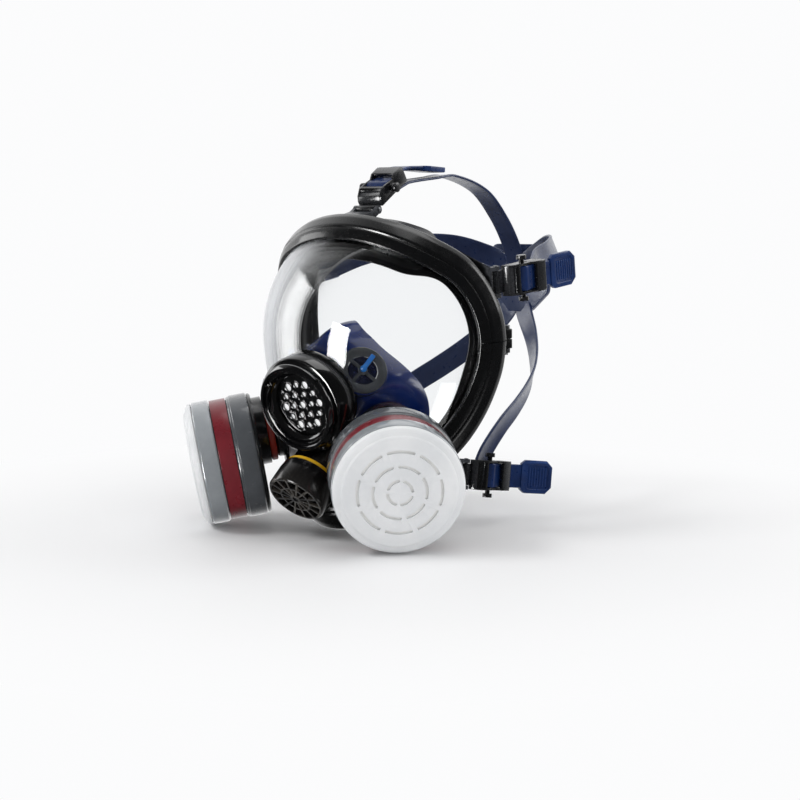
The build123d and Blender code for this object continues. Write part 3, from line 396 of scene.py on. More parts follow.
def lathe(name, place, profile, look, count=144, radius=0.35, closed=True, angle=40):
    """A (radius, height) profile with rounded corners turned about a place
    (origin, axis, radial)."""
    origin, axis, radial = place
    profile = round_poly(profile, radius, 3, closed)
    rings = np.array([[origin + spoke * q[0] + axis * q[1] for q in profile]
                      for spoke in spokes(axis, radial, count)])
    faces = grid_faces(count, len(profile), True, closed)
    return shade(new_mesh(name, rings.reshape(-1, 3), faces, look), angle)


def extrude(name, outline, direction, low, high, look):
    """A flat 3-D outline pushed along a direction from low to high."""
    count = len(outline)
    verts = [p + direction * low for p in outline] + [p + direction * high for p in outline]
    faces = [(i, (i + 1) % count, count + (i + 1) % count, count + i) for i in range(count)]
    faces += [tuple(reversed(range(count))), tuple(count + i for i in range(count))]
    return new_mesh(name, verts, faces, look, smooth=False)


def cylinder(origin, axis, radius, low, high, count=96, look=None):
    axis = unit(axis)
    ring = [origin + spoke * radius
            for spoke in spokes(axis, unit(np.cross(axis, X)), count)]
    return extrude("cut", ring, axis, low, high, look)


def prism(name, outline, origin, axes, low, high, look, bevel=0.0, segments=2):
    """An outline in the plane of the first two axes pushed along the third."""
    across, upward, normal = axes
    points = [origin + across * p[0] + upward * p[1] for p in outline]
    ob = extrude(name, points, normal, low, high, look)
    if bevel:
        shade(bevel_edges(ob, bevel, segments), 50)
    return ob


def select_only(obs):
    for ob in bpy.context.selected_objects:
        ob.select_set(False)
    for ob in obs:
        ob.select_set(True)
    bpy.context.view_layer.objects.active = obs[0]


def apply_modifier(ob, modifier):
    select_only([ob])
    bpy.ops.object.modifier_apply(modifier=modifier.name)


def bevel_edges(ob, width, segments, angle=30):
    """Bevels edges sharper than an angle in degrees."""
    bevel = ob.modifiers.new("bev", "BEVEL")
    bevel.width, bevel.segments = width * METRES, segments
    bevel.limit_method, bevel.angle_limit = "ANGLE", math.radians(angle)
    apply_modifier(ob, bevel)
    return ob


def boolean(ob, other, operation="DIFFERENCE"):
    """Cuts or adds another object, which is used up."""
    modifier = ob.modifiers.new("b", "BOOLEAN")
    modifier.operation = operation
    modifier.solver = "EXACT"
    modifier.object = other
    apply_modifier(ob, modifier)
    bpy.data.objects.remove(other)


def bore(ob, origin, axis, radius, low, high, count=96):
    boolean(ob, cylinder(origin, axis, radius, low, high, count))


def join(obs, name):
    select_only(obs)
    bpy.ops.object.join()
    obs[0].name = name
    obs[0].data.name = name
    return obs[0]


def stands_for(ob, node):
    """Puts an object in place of a CAD piece and on its body."""
    record = cad["record"]
    bodies = record["behaviour"]["bodies"].items()
    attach(ob, next((body for body, members in bodies if node in members), None))
    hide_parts(node)


def turned(node, place, profile, look, **options):
    """A lathed piece that takes the place and the name of a CAD piece."""
    stands_for(lathe(node, place, profile, look, **options), node)


# ------------------------------------------------------------------ node helpers
def feed(tree, node, inputs):
    """Sets a node's inputs; a socket is linked and anything else is a value."""
    for key, value in inputs.items():
        if isinstance(value, bpy.types.NodeSocket):
            tree.links.new(value, node.inputs[key])
        else:
            node.inputs[key].default_value = value


def add_node(tree, kind, inputs=None, **settings):
    node = tree.nodes.new(kind)
    for key, value in settings.items():
        setattr(node, key, value)
    feed(tree, node, inputs or {})
    return node


BLACK, WHITE = (0, 0, 0, 1), (1, 1, 1, 1)


def add_ramp(tree, factor, *stops):
    """Colour ramp with two (position, colour) stops; gives its colour."""
    ramp = add_node(tree, "ShaderNodeValToRGB", {"Fac": factor})
    for element, (position, colour) in zip(ramp.color_ramp.elements, stops):
        element.position = position
        element.color = colour
    return ramp.outputs["Color"]


def new_material(name):
    made = bpy.data.materials.new(name)
    made.use_nodes = True
    return made, made.node_tree


def srgb(code):
    """Linear colour from a '#rrggbb' code."""
    parts = [int(code[i:i + 2], 16) / 255 for i in (1, 3, 5)]
    return tuple(c / 12.92 if c <= 0.04045 else ((c + 0.055) / 1.055) ** 2.4
                 for c in parts) + (1.0,)


# ------------------------------------------------------------------ materials
LOOKS = {}


def clear_plastic(name):
    """Thin clear plastic: straight-through view, Fresnel reflection, haze at grazing angles."""
    LOOKS[name], tree = new_material(name)
    tree.nodes.remove(tree.nodes["Principled BSDF"])
    through = add_node(tree, "ShaderNodeBsdfTransparent")
    facing = add_node(tree, "ShaderNodeLayerWeight", {"Blend": 0.5}).outputs["Facing"]
    tint = add_ramp(tree, facing, (0.55, (0.985, 0.992, 0.995, 1)),
                    (1.0, (0.78, 0.81, 0.84, 1)))
    feed(tree, through, {"Color": tint})
    gloss = add_node(tree, "ShaderNodeBsdfGlossy", {"Roughness": 0.0, "Color": WHITE})
    fresnel = add_node(tree, "ShaderNodeFresnel", {"IOR": 1.45})
    place = add_node(tree, "ShaderNodeTexCoord").outputs["Object"]
    ripple = add_node(tree, "ShaderNodeTexNoise", {"Scale": 22, "Detail": 2, "Vector": place})
    bump = add_node(tree, "ShaderNodeBump", {"Distance": 0.0001, "Strength": 0.25,
                                             "Height": ripple.outputs["Fac"]})
    feed(tree, gloss, {"Normal": bump.outputs["Normal"]})
    shine = add_node(tree, "ShaderNodeMath", {0: fresnel.outputs[0], 1: 0.9},
                     operation="MULTIPLY", use_clamp=True)
    clear = add_node(tree, "ShaderNodeMixShader", {"Fac": shine.outputs[0],
                                                   1: through.outputs[0], 2: gloss.outputs[0]})
    haze = add_node(tree, "ShaderNodeBsdfDiffuse", {"Color": (0.97, 0.98, 1, 1)})
    graze = add_node(tree, "ShaderNodeLayerWeight", {"Blend": 0.5}).outputs["Facing"]
    amount = add_node(tree, "ShaderNodeMapRange",
                      {"From Min": 0.42, "From Max": 0.86, "To Min": 0.0, "To Max": 0.5,
                       "Value": graze}, interpolation_type="SMOOTHSTEP")
    hazed = add_node(tree, "ShaderNodeMixShader", {"Fac": amount.outputs[0],
                                                   1: clear.outputs[0], 2: haze.outputs[0]})
    feed(tree, tree.nodes["Material Output"], {"Surface": hazed.outputs[0]})


def worn_edges(tree, colour, edge_colour, amount):
    """Mixes a lighter colour into convex edges, broken up by noise."""
    point = add_node(tree, "ShaderNodeNewGeometry").outputs["Pointiness"]
    convex = add_ramp(tree, point, (0.52, BLACK), (0.62, WHITE))
    place = tree.nodes["Texture Coordinate"].outputs["Object"]
    patches = add_node(tree, "ShaderNodeTexNoise", {"Scale": 900, "Vector": place})
    mask = add_node(tree, "ShaderNodeMath", {0: convex, 1: patches.outputs["Fac"]},
                    operation="MULTIPLY")
    mask = add_node(tree, "ShaderNodeMath", {0: mask.outputs[0], 1: amount * 1.6},
                    operation="MULTIPLY")
    mix = add_node(tree, "ShaderNodeMixRGB", {"Color2": srgb(edge_colour),
                                              "Fac": mask.outputs[0], "Color1": colour})
    return mix.outputs["Color"]


def moulded(name, dark, light, rough, scale, bump, grain=None, coat=(0.0, 0.08), spec=0.5,
            edge=None, painted_glow=0.0, more=None):
    """Plastic, rubber, fibre or metal in two cloudy tones.

    rough is a (least, most) pair, scale the size of the noise and bump its relief;
    grain is the (scale, relief) of a finer noise, coat is (weight, roughness), edge is
    the (colour, amount) of wear, glow is an emission strength that paints light into the
    surface colour, and more holds further inputs of the surface."""
    LOOKS[name], tree = new_material(name)
    surface = tree.nodes["Principled BSDF"]
    place = add_node(tree, "ShaderNodeTexCoord").outputs["Object"]
    cloud = add_node(tree, "ShaderNodeTexNoise", {"Scale": scale * 0.12, "Detail": 5,
                                                  "Roughness": 0.6, "Vector": place})
    colour = add_ramp(tree, cloud.outputs["Fac"], (0.3, srgb(dark)), (0.72, srgb(light)))
    if edge:
        colour = worn_edges(tree, colour, *edge)
    mottle = add_node(tree, "ShaderNodeTexNoise",
                      {"Scale": scale, "Detail": 4, "Vector": place}).outputs["Fac"]
    roughness = add_node(tree, "ShaderNodeMapRange",
                         {"From Min": 0.3, "From Max": 0.7, "To Min": rough[0],
                          "To Max": rough[1], "Value": mottle})

    def relief(height, depth):
        return add_node(tree, "ShaderNodeBump",
                        {"Strength": 1.0, "Distance": depth * 0.25 * METRES,
                         "Height": height})

    normal = relief(mottle, bump)
    if grain:
        fine = add_node(tree, "ShaderNodeTexNoise", {"Scale": grain[0], "Detail": 2,
                                                     "Vector": place})
        grained = relief(fine.outputs["Fac"], grain[1])
        feed(tree, grained, {"Normal": normal.outputs["Normal"]})
        normal = grained
    feed(tree, surface, {
        "Base Color": colour, "Roughness": roughness.outputs[0],
        "Normal": normal.outputs["Normal"], "Specular IOR Level": spec,
        "Coat Weight": coat[0], "Coat Roughness": coat[1], **(more or {})})
    # painted light: emission in the surface's own colour, not a lamp
    if painted_glow:
        feed(tree, surface, {"Emission Color": colour, "Emission Strength": painted_glow})


def scatter(weight):
    """Subsurface inputs of a slightly translucent plastic."""
    return {"Subsurface Weight": weight, "Subsurface Scale": 0.002,
            "Subsurface Radius": (1, 1, 1)}


clear_plastic("lens_clear")
moulded("frame_black", "#060708", "#0b0c0e", rough=(0.22, 0.3), scale=160, bump=0.004,
        grain=(900, 0.0015), coat=(0.3, 0.1))
moulded("seal_rubber", "#08090b", "#0e0f12", rough=(0.26, 0.36), scale=160, bump=0.006,
        grain=(900, 0.002), spec=0.45, coat=(0.2, 0.15))
moulded("navy_rubber", "#051d58", "#092a72", rough=(0.2, 0.28), scale=120, bump=0.01,
        grain=(1500, 0.004), edge=("#3d5fa8", 0.12), coat=(0.6, 0.08))
moulded("strap_navy", "#08204c", "#0f3068", rough=(0.26, 0.38), scale=420, bump=0.03,
        grain=(2200, 0.015), edge=("#5478c4", 0.45), coat=(0.15, 0.25))
moulded("strap_arm", "#1a2648", "#2c3a5e", rough=(0.26, 0.4), scale=300, bump=0.03,
        grain=(2200, 0.012), edge=("#5d74ac", 0.4), coat=(0.35, 0.22))
moulded("buckle_black", "#08090b", "#0f1013", rough=(0.2, 0.32), scale=200, bump=0.004,
        grain=(900, 0.002), edge=("#77797f", 0.2), coat=(0.3, 0.12))
moulded("lug_black", "#08090a", "#101114", rough=(0.26, 0.38), scale=500, bump=0.012,
        grain=(2400, 0.012), edge=("#6d7078", 0.35))
moulded("voice_black", "#050506", "#09090b", rough=(0.1, 0.16), scale=140, bump=0.002,
        coat=(0.7, 0.04), spec=0.6)
moulded("valve_black", "#08080a", "#0e0e11", rough=(0.2, 0.25), scale=90, bump=0.002,
        grain=(900, 0.001), edge=("#8a8378", 0.3), coat=(0.3, 0.1))
moulded("disc_navy", "#060d2c", "#0a153e", rough=(0.2, 0.3), scale=300, bump=0.02,
        coat=(0.3, 0.08))
moulded("valve_rubber", "#2a1214", "#3a1a1c", rough=(0.4, 0.55), scale=300, bump=0.02)
# painted reflection: the film's emission paints it bright white, standing in for light reflected
# off a shiny diaphragm behind the grille
moulded("diaphragm_film", "#f4f5f7", "#ffffff", rough=(0.22, 0.34), scale=120, bump=0.05,
        spec=0.6, painted_glow=0.75)
moulded("yellow_ring", "#e0a80c", "#f2c224", rough=(0.25, 0.4), scale=300, bump=0.02,
        edge=("#fff0a8", 0.5), coat=(0.3, 0.08))
moulded("gasket_red", "#8e2216", "#a93322", rough=(0.34, 0.5), scale=300, bump=0.03,
        edge=("#e08a70", 0.4))
moulded("seat_grey", "#434548", "#56585c", rough=(0.14, 0.26), scale=240, bump=0.015,
        edge=("#a9b3bb", 0.5), coat=(0.5, 0.06))
moulded("stem_blue", "#1a74d4", "#3a98ec", rough=(0.26, 0.36), scale=300, bump=0.02,
        coat=(0.2, 0.08))
moulded("filter_black", "#0c0d0f", "#131417", rough=(0.22, 0.28), scale=120, bump=0.003,
        edge=("#8a8c90", 0.15), coat=(0.35, 0.1))
moulded("filter_grey", "#4c4f53", "#5e6165", rough=(0.16, 0.28), scale=240, bump=0.02,
        grain=(1600, 0.006), edge=("#c9d0d6", 0.4), coat=(0.5, 0.08))
moulded("band_maroon", "#6e1a24", "#8c2a34", rough=(0.26, 0.32), scale=160, bump=0.006,
        coat=(0.25, 0.15))
moulded("carbon_granules", "#0b0b0c", "#1d1d1f", rough=(0.6, 0.9), scale=900, bump=0.4)
moulded("ring_pale", "#8f9498", "#a9adb1", rough=(0.14, 0.26), scale=200, bump=0.02,
        edge=("#eef3f7", 0.5), coat=(0.6, 0.06), more=scatter(0.3))
# painted light: a weak emission on the pad lifts the shade inside the cap's slots
moulded("pad_white", "#d8d8d6", "#eaeae8", rough=(0.8, 0.95), scale=700, bump=0.25,
        grain=(2600, 0.12), painted_glow=0.12, more={"Sheen Weight": 0.4, "Sheen Roughness": 0.4})
moulded("cap_white", "#e6e8ea", "#f3f4f5", rough=(0.42, 0.56), scale=300, bump=0.02,
        grain=(1500, 0.012), spec=0.4, more=scatter(0.15))
moulded("plated_steel", "#8f9296", "#b2b5b8", rough=(0.22, 0.4), scale=500, bump=0.01,
        more={"Metallic": 1.0})


# ------------------------------------------------------------------ clear lens
LENS_GRID_Z = -51.0                  # centre of the lens's radial grid
LENS_GRID_HOLE = 20.0                # radius where the grid starts, inside the voice hole


def build_lens():
    edge = []
    for along in spread(0, LOOP_LEN, 49)[:-1]:
        point, _, outward, _ = station(along)
        edge.append([point + outward * LENS_EDGE])
    edge = spline_rings(edge, 6, True)[:, 0]
    steps = np.arange(40) / 39
    reach = np.sin(np.pi / 2 * steps) * 0.55 + 0.45 * steps
    rings = []
    for rim in edge:
        run_x, run_z = rim[0], rim[2] - LENS_GRID_Z
        rim_r = math.hypot(run_x, run_z)
        dir_x, dir_z = run_x / rim_r, run_z / rim_r
        radius = LENS_GRID_HOLE + (rim_r - LENS_GRID_HOLE) * reach
        x, z = dir_x * radius, LENS_GRID_Z + dir_z * radius
        y = lens_y(x, z)
        normal = lens_normal(x, z)
        radial = normal[:, 0] * dir_x + normal[:, 2] * dir_z
        length = np.sqrt(radial ** 2 + normal[:, 1] ** 2)
        inner_r = radius - radial / length * LENS_THICK
        inner = np.stack([dir_x * inner_r, y - normal[:, 1] / length * LENS_THICK,
                          LENS_GRID_Z + dir_z * inner_r], -1)
        rings.append(np.concatenate([np.stack([x, y, z], -1), inner[::-1]]))
    lens = tube("lens", rings, "lens_clear", closed=True)
    bore(lens, VOICE_AT, VOICE_AXIS, VOICE_NECK_R + NECK_CLEAR, -60, 10)
    bore(lens, EXHALE_AT, EXHALE_AXIS, EXHALE_NECK_R + NECK_CLEAR, -55, -5)
    for side, _ in SIDES:
        port, axis, _ = filter_frame(side)[1]
        bore(lens, port, axis, PORT_NECK_R + NECK_CLEAR, -30, -5)
    stands_for(shade(lens, 30), "lens")


# ------------------------------------------------------------------ frame halves
# (outwards, forwards) from the loop, and the rounding of each corner
FRAME_SECTION = [
    (-2.5, 0.5), (-2.2, 2.6), (2.0, 4.6), (4.6, 5.4), (5.5, 4.5), (6.4, 5.7), (8, 6.0),
    (15, 6.0), (19.5, 4.6), (FRAME_OUT, 2.0), (FRAME_OUT, -7.0), (20, -8.5), (11, -8.5),
    (11, -6.3), (18.5, -6.3), (18.5, 1.0), (16.5, 2.4), (5.4, 2.4), (4.8, 0.5)]
FRAME_RADII = [0.7, 1.0, 2.5, 0.5, 0.5, 0.5, 4.0, 7.0, 4.0, 2.2, 1.2, 1.2, 0.8, 0.4, 0.5, 1.0,
               0.8, 0.5, 0.4]
EAR_WIDTH, EAR_DEPTH, EAR_HEIGHT = 8.6, 8.4, 6.7
EAR_OUT, EAR_BACK = 24.6, 3.4        # ear centre from the loop
SCREW_R, SCREW_OUT = 2.15, 0.9       # screw hole, and how far it sits off the ear's centre


def build_ear(side, low, high):
    """Screw ear beside the seam between heights low and high, measured downwards."""
    point, tangent, outward, normal = station(side * SEAM_ALONG)
    down = tangent if tangent[2] < 0 else -tangent
    origin = point + outward * EAR_OUT + normal * -EAR_BACK
    ear = prism("ear", rounded_rect(EAR_WIDTH, EAR_DEPTH, 1.4), origin,
                (outward, np.cross(down, outward), down), low, high, "frame_black", bevel=0.5)
    bore(ear, origin + outward * SCREW_OUT, down, SCREW_R, -12, 12, count=48)
    return shade(ear, 40)


def build_frame():
    gap = SEAM_GAP / 2

    def half(name, start, end, stations):
        rings = loop_rings(spread(start, end, stations), lambda along: FRAME_SECTION, 6,
                           False, FRAME_RADII)
        return tube(name, rings, "frame_black")

    upper = half("frame_upper", -SEAM_ALONG + gap, SEAM_ALONG - gap, 25)
    lower = half("frame_lower", SEAM_ALONG + gap, LOOP_LEN - SEAM_ALONG - gap, 27)
    for ob, low, high in ((upper, -EAR_HEIGHT, -gap), (lower, gap, EAR_HEIGHT)):
        shade(ob, 50)
        join([ob] + [build_ear(side, low, high) for side, _ in SIDES], ob.name)
    stands_for(upper, "frame_upper")
    stands_for(lower, "frame_lower")


# ------------------------------------------------------------------ face seal
SEAL_RADII = [0.5, 0.8, 0.8, 0.8, 0.4, 0.4, 0.4, 3.0, 0.8, 0.8, 6.0, 3.0, 4.0, 1.6, 0.5, 0.7,
              1.2, 3.0, 1.2, 2.0, 1.2]


def seal_section(along):
    """(outwards, forwards) section of the seal, which changes from brow to chin."""
    along = along % LOOP_LEN
    from_top = min(along, LOOP_LEN - along)
    top = 1 - smoothstep(from_top, 52, 88)
    ear = (smoothstep(from_top, SEAM_ALONG - 14, SEAM_ALONG + 4)
           * (1 - smoothstep(from_top, SEAM_ALONG + 22, SEAM_ALONG + 30)))
    chin = smoothstep(from_top, HALF_LEN - 70, HALF_LEN)
    low = smoothstep(-loop_point(along)[2], 35, 62)
    # outer flange, widest over the brow and wider at the screw ears
    flange = 21.0 * top + 6.0 * ear + 1.0
    drop = 0.40 * flange * top + 0.15 * flange
    # lip that meets the face
    side_x, side_y = 9.0 - 2.0 * low, -21.5 + 4.5 * low
    lip_x = -4.0 * top + side_x * (1 - top) * (1 - chin) + 12.0 * chin
    lip_y = -15.5 * top + side_y * (1 - top) * (1 - chin) - 27.0 * chin
    outer_x, outer_y = lip_x + 7.0, lip_y - 3.0
    inner_x, inner_y = lip_x + 5.2, lip_y - 0.9
    return [(5.8, -3.1), (5.8, 1.9), (16.0, 1.9), (18.0, 0.5), (18.0, -5.8), (10.5, -5.8),
            (10.5, -9.1), (20.5, -9.2), (21.0 + flange, -9.6 - drop),
            (20.6 + flange, -11.3 - drop), (20, -11.6), (12.2, -11.9),
            ((12.2 + outer_x) / 2 + 0.8, (outer_y - 11.9) / 2), (outer_x, outer_y),
            (lip_x + 0.4, lip_y - 1.0), (lip_x, lip_y + 0.6), (inner_x, inner_y),
            ((8.6 + inner_x) / 2 + 0.8, (inner_y - 11.0) / 2),
            (8.6, -11.0), (3.4, -6.4), (2.0, -3.1)]


def build_seal():
    rings = loop_rings(spread(0, LOOP_LEN, 57)[:-1], seal_section, 5, True, SEAL_RADII)
    stands_for(shade(tube("face_seal", rings, "seal_rubber", closed=True), 60), "face_seal")


# ------------------------------------------------------------------ nose cup
CUP_Z, CUP_FRONT_Y, CUP_THICK = -46.8, -47.6, 1.8
CUP_SLOPE = 0.2867                   # lean of the cup's front face
CUP_INNER_R, CUP_FLAT_R = 22.0, 28.0
# left half of the rim on the face, from nose to chin: (x, y, z)
CUP_RIM = [
    (0, -15.7, 0.9), (15, -16.5, -11), (28, -11.5, -22.5), (40, -3, -34), (49, 4, -48),
    (52, 6, -65), (47, 0, -85), (32, -12, -103), (15, -24, -112), (0, -28, -115)]
CUP_ANGLES = [90, 80, 68, 56, 45, 34, 22, 10, -2, -15, -28, -42, -56, -70, -80, -90]


def rim_at(angle):
    """(radius, y) of the rim at an angle in degrees about the cup's centre."""
    samples = []
    for (x0, y0, z0), (x1, y1, z1) in zip(CUP_RIM, CUP_RIM[1:]):
        for k in range(41):
            part = k / 40
            x, y, z = x0 + (x1 - x0) * part, y0 + (y1 - y0) * part, z0 + (z1 - z0) * part
            off = abs(math.degrees(math.atan2(z - CUP_Z, x)) - angle)
            samples.append((off, math.hypot(x, z - CUP_Z), y))
    return min(samples, key=lambda sample: sample[0])[1:]


def cup_section(angle, rim_r, rim_y):
    """Ring of the cup wall at an angle: out along the front face, back along the inside."""
    cosine, sine = math.cos(math.radians(angle)), math.sin(math.radians(angle))

    def front_y(radius):
        return CUP_FRONT_Y + 0.45 - CUP_SLOPE * sine * radius

    # share of a straighter, flatter wall, highest to the sides below the centre
    flat = 0.42 * smoothstep(-angle, 2, 30) * (1 - 0.5 * smoothstep(-angle, 60, 90))
    start_y = front_y(CUP_FLAT_R)
    outer = [(radius, front_y(radius))
             for radius in (CUP_INNER_R, CUP_INNER_R + 2, CUP_INNER_R + 4, CUP_FLAT_R)]
    for k in range(1, 25):
        turn = math.pi / 2 * k / 24
        rise = (1 - flat) * (1 - math.cos(turn)) + flat * math.sin(turn)
        outer.append((CUP_FLAT_R + (rim_r - CUP_FLAT_R) * math.sin(turn),
                      start_y + (rim_y - start_y) * rise))
    inner = [(x, y + CUP_THICK) for x, y in outer[:3]]
    for i in range(3, len(outer)):
        x0, y0 = outer[i - 1]
        x1, y1 = outer[min(i + 1, len(outer) - 1)]
        length = math.hypot(x1 - x0, y1 - y0)
        inner.append((outer[i][0] - (y1 - y0) / length * CUP_THICK,
                      outer[i][1] + (x1 - x0) / length * CUP_THICK))
    inner[-1] = (outer[-1][0] - 3.2, outer[-1][1] + 0.8)
    inner[-2] = ((inner[-1][0] + inner[-3][0]) / 2, (inner[-1][1] + inner[-3][1]) / 2)
    return [vec(cosine * radius, y, CUP_Z + sine * radius)
            for radius, y in outer + inner[::-1]]


def keep_behind_lens(ob):
    """Holds a piece's vertices just behind the back of the lens."""
    mesh = ob.data
    places = np.zeros(len(mesh.vertices) * 3)
    mesh.vertices.foreach_get("co", places)
    places = places.reshape(-1, 3) / METRES
    limit = lens_y(places[:, 0], places[:, 2], -LENS_THICK - 0.35)
    places[:, 1] = np.maximum(places[:, 1], limit)
    mesh.vertices.foreach_set("co", (places * METRES).ravel())
    mesh.update()


def build_cup():
    rims = np.array([rim_at(angle) for angle in CUP_ANGLES])
    for _ in range(2):
        rims[1:-1] = (rims[:-2] + 2 * rims[1:-1] + rims[2:]) / 4
    half = [cup_section(angle, *rim) for angle, rim in zip(CUP_ANGLES, rims)]
    other = [[vec(-x, y, z) for x, y, z in ring] for ring in reversed(half[1:-1])]
    cup = tube("nose_cup", spline_rings(half + other, 9, True), "navy_rubber", closed=True)
    for side, _ in SIDES:
        seat, axis, _ = check_frame(side)
        boss = cylinder(seat, axis, 17.4, -5.0, 1.0, look="navy_rubber")
        boolean(cup, bevel_edges(boss, 0.9, 3), "UNION")
    keep_behind_lens(cup)
    for side, _ in SIDES:
        seat, axis, _ = check_frame(side)
        bore(cup, seat, axis, 12.4, -20, 12)
    bore(cup, VOICE_AT, VOICE_AXIS, 28.9, -33.3, -12)
    bore(cup, EXHALE_AT, EXHALE_AXIS, 17.2, -62, -20)
    stands_for(shade(cup, 42), "nose_cup")


# ------------------------------------------------------------------ filters
# turned profiles: (radius, height along the axis)
DRUM_PROFILE = [
    (41.0, 3.1), (42.6, 3.1), (FILTER_R, 4.0), (FILTER_R, 15.2), (42.9, 15.8), (42.9, 16.6),
    (42.2, 17.6), (40.8, 17.6), (40.8, 29.8), (39.6, 29.8), (39.6, 4.6), (41.0, 4.6)]
BAND_PROFILE = [(41.0, 18.1), (42.5, 18.1), (42.5, 29.4), (41.0, 29.4)]
RING_PROFILE = [
    (39.0, 30.1), (42.6, 30.1), (FILTER_R, 31.0), (FILTER_R, 41.2), (42.8, 42.3),
    (41.2, 42.3), (41.2, 32.0), (39.0, 32.0)]
CAP_PROFILE = [
    (0, 48.0), (30, 47.4), (35, 46.6), (38, 45.2), (39.8, 43.6), (40.2, 42.7), (42.9, 42.7),
    (42.9, 44.4), (41.9, 45.9), (40.2, 46.8), (37.9, 47.5), (37.3, 48.3), (36.3, 48.75),
    (30, 49.2), (15, 49.65), (0, 49.8)]
PAD_PROFILE = [
    (0, 32.4), (39.6, 32.4), (39.9, 33.0), (39.9, 42.4), (39.2, 43.2), (37.4, 44.9),
    (34.6, 46.3), (29.8, 47.15), (15, 47.6), (0, 47.8)]
# arc slots through the cap: (radius, number round, sweep in degrees)
CAP_SLOTS = ((8.0, 4, 62), (17.5, 6, 44), (27.5, 8, 34))
SLOT_HALF = 1.0


def slot_outline(radius, start, sweep):
    """Arc slot with round ends, about the cap's centre."""
    ends = [math.pi * j / 8 for j in range(1, 8)]
    polar = [(radius + SLOT_HALF, start + sweep * j / 24) for j in range(25)]
    polar += [(radius + math.cos(b), start + sweep + math.sin(b) / radius) for b in ends]
    polar += [(radius - SLOT_HALF, start + sweep * (1 - j / 24)) for j in range(25)]
    polar += [(radius - math.cos(b), start - math.sin(b) / radius) for b in ends]
    return [(r * math.cos(a), r * math.sin(a)) for r, a in polar]


def build_cap(node, place):
    """Domed filter cap with rings of arc slots."""
    cap = lathe(node, place, CAP_PROFILE, "cap_white", count=192, radius=0.5, closed=False)
    merge_and_orient(cap, 1e-5)
    back, axis, up = place
    cutters = []
    for radius, count, sweep in CAP_SLOTS:
        for k in range(count):
            start = math.radians(360 * k / count + radius)
            outline = slot_outline(radius, start, math.radians(sweep))
            cutters.append(prism("cut", outline, back, (up, np.cross(axis, up), axis),
                                 43.0, 53.0, "cap_white"))
    boolean(cap, join(cutters, "cut"))
    stands_for(shade(bevel_edges(cap, 0.35, 2, angle=50), 40), node)


def build_inhale_disc(node, place):
    disc = lathe(node, place,
                 [(0, -27.3), (12.4, -27.3), (12.4, -28.1), (1.3, -28.3), (0, -28.3)],
                 "valve_rubber", count=72, radius=0.15, closed=False)
    stem = lathe("inhale_stem", place, [(0, -28.0), (1.4, -28.0), (1.4, -23.0), (0, -23.0)],
                 "valve_rubber", count=32, radius=0.2, closed=False)
    stands_for(join([disc, stem], node), node)


def build_check_valve(node, side):
    """Check valve disc with a blue knob and a tab that leans back."""
    place = check_frame(side)
    origin, axis, up = place
    valve = lathe(node, place, [(0, -0.6), (10.2, -0.6), (10.2, 0.5), (1.5, 0.6), (0, 0.6)],
                  "disc_navy", count=72, radius=0.2, closed=False, angle=50)
    knob = lathe("knob", place,
                 [(0, 0.4), (1.5, 0.4), (1.5, 3.2), (2.3, 4.2), (2.3, 5.4), (1.3, 6.4), (0, 6.4)],
                 "stem_blue", count=40, closed=False, angle=50)
    lean = unit(up * 6.4 + vec(side * 0.621, 0.764, 0) * 5.6)
    outline = [(-1.5, 4.3), (1.0, 4.3), (3.2, 5.6), (10.6, 9.1), (9.8, 10.7), (1.4, 7.2),
               (-1.5, 5.8)]
    tab = prism("tab", outline, origin, (lean, axis, np.cross(lean, axis)), -1.6, 1.6,
                "stem_blue", bevel=0.5, segments=3)
    stands_for(join([valve, knob, tab], node), node)


def build_filters():
    for side, hand in SIDES:
        body, port = filter_frame(side)
        turned("filter_drum_" + hand, body, DRUM_PROFILE, "filter_grey", count=192, radius=0.3)
        turned("filter_band_" + hand, body, BAND_PROFILE, "band_maroon", count=192,
               radius=0.25)
        turned("filter_ring_" + hand, body, RING_PROFILE, "ring_pale", count=192)
        build_cap("prefilter_cap_" + hand, body)
        turned("prefilter_pad_" + hand, body, PAD_PROFILE, "pad_white", count=96, radius=0.5,
               closed=False)
        build_inhale_disc("inhale_disc_" + hand, port)
        build_check_valve("check_valve_" + hand, side)


# ------------------------------------------------------------------ gaskets, exhale valve, film
def build_turned_parts():
    gasket = [(17.7, -11.2), (21.6, -11.2), (22.4, -10.4), (22.4, -7.4), (21.6, -6.8),
              (17.7, -6.8)]
    gaskets = [lathe("gasket", filter_frame(side)[1], gasket, "gasket_red", count=128,
                     radius=0.6) for side, _ in SIDES]
    stands_for(join(gaskets, "port_gaskets"), "port_gaskets")
    exhale = (EXHALE_AT, EXHALE_AXIS, X)
    turned("exhale_ring", exhale,
           [(15.2, -20.2), (19.4, -20.2), (19.6, -20.6), (19.6, -22.4), (19.2, -22.9),
            (15.2, -22.9)], "yellow_ring", count=128, radius=0.4)
    turned("exhale_disc", exhale,
           [(0, -14.4), (11, -14.9), (13.2, -16.1), (13.0, -16.25), (10.5, -15.9),
            (1.6, -15.9), (1.6, -22.0), (2.3, -22.8), (0.9, -25.4), (0, -25.4)],
           "valve_rubber", count=96, radius=0.12, closed=False)
    film = lathe("voicemitter_film", (VOICE_AT, VOICE_AXIS, X),
                 [(0, -12.3), (21.6, -12.3), (21.6, -11.9), (19.5, -11.9), (18.9, -11.6),
                  (18.0, -11.9), (12, -11.9), (11.4, -11.7), (10.8, -11.9), (0, -11.9)],
                 "diaphragm_film", count=96, radius=0.1, closed=False)
    stands_for(film, "voicemitter_diaphragm")


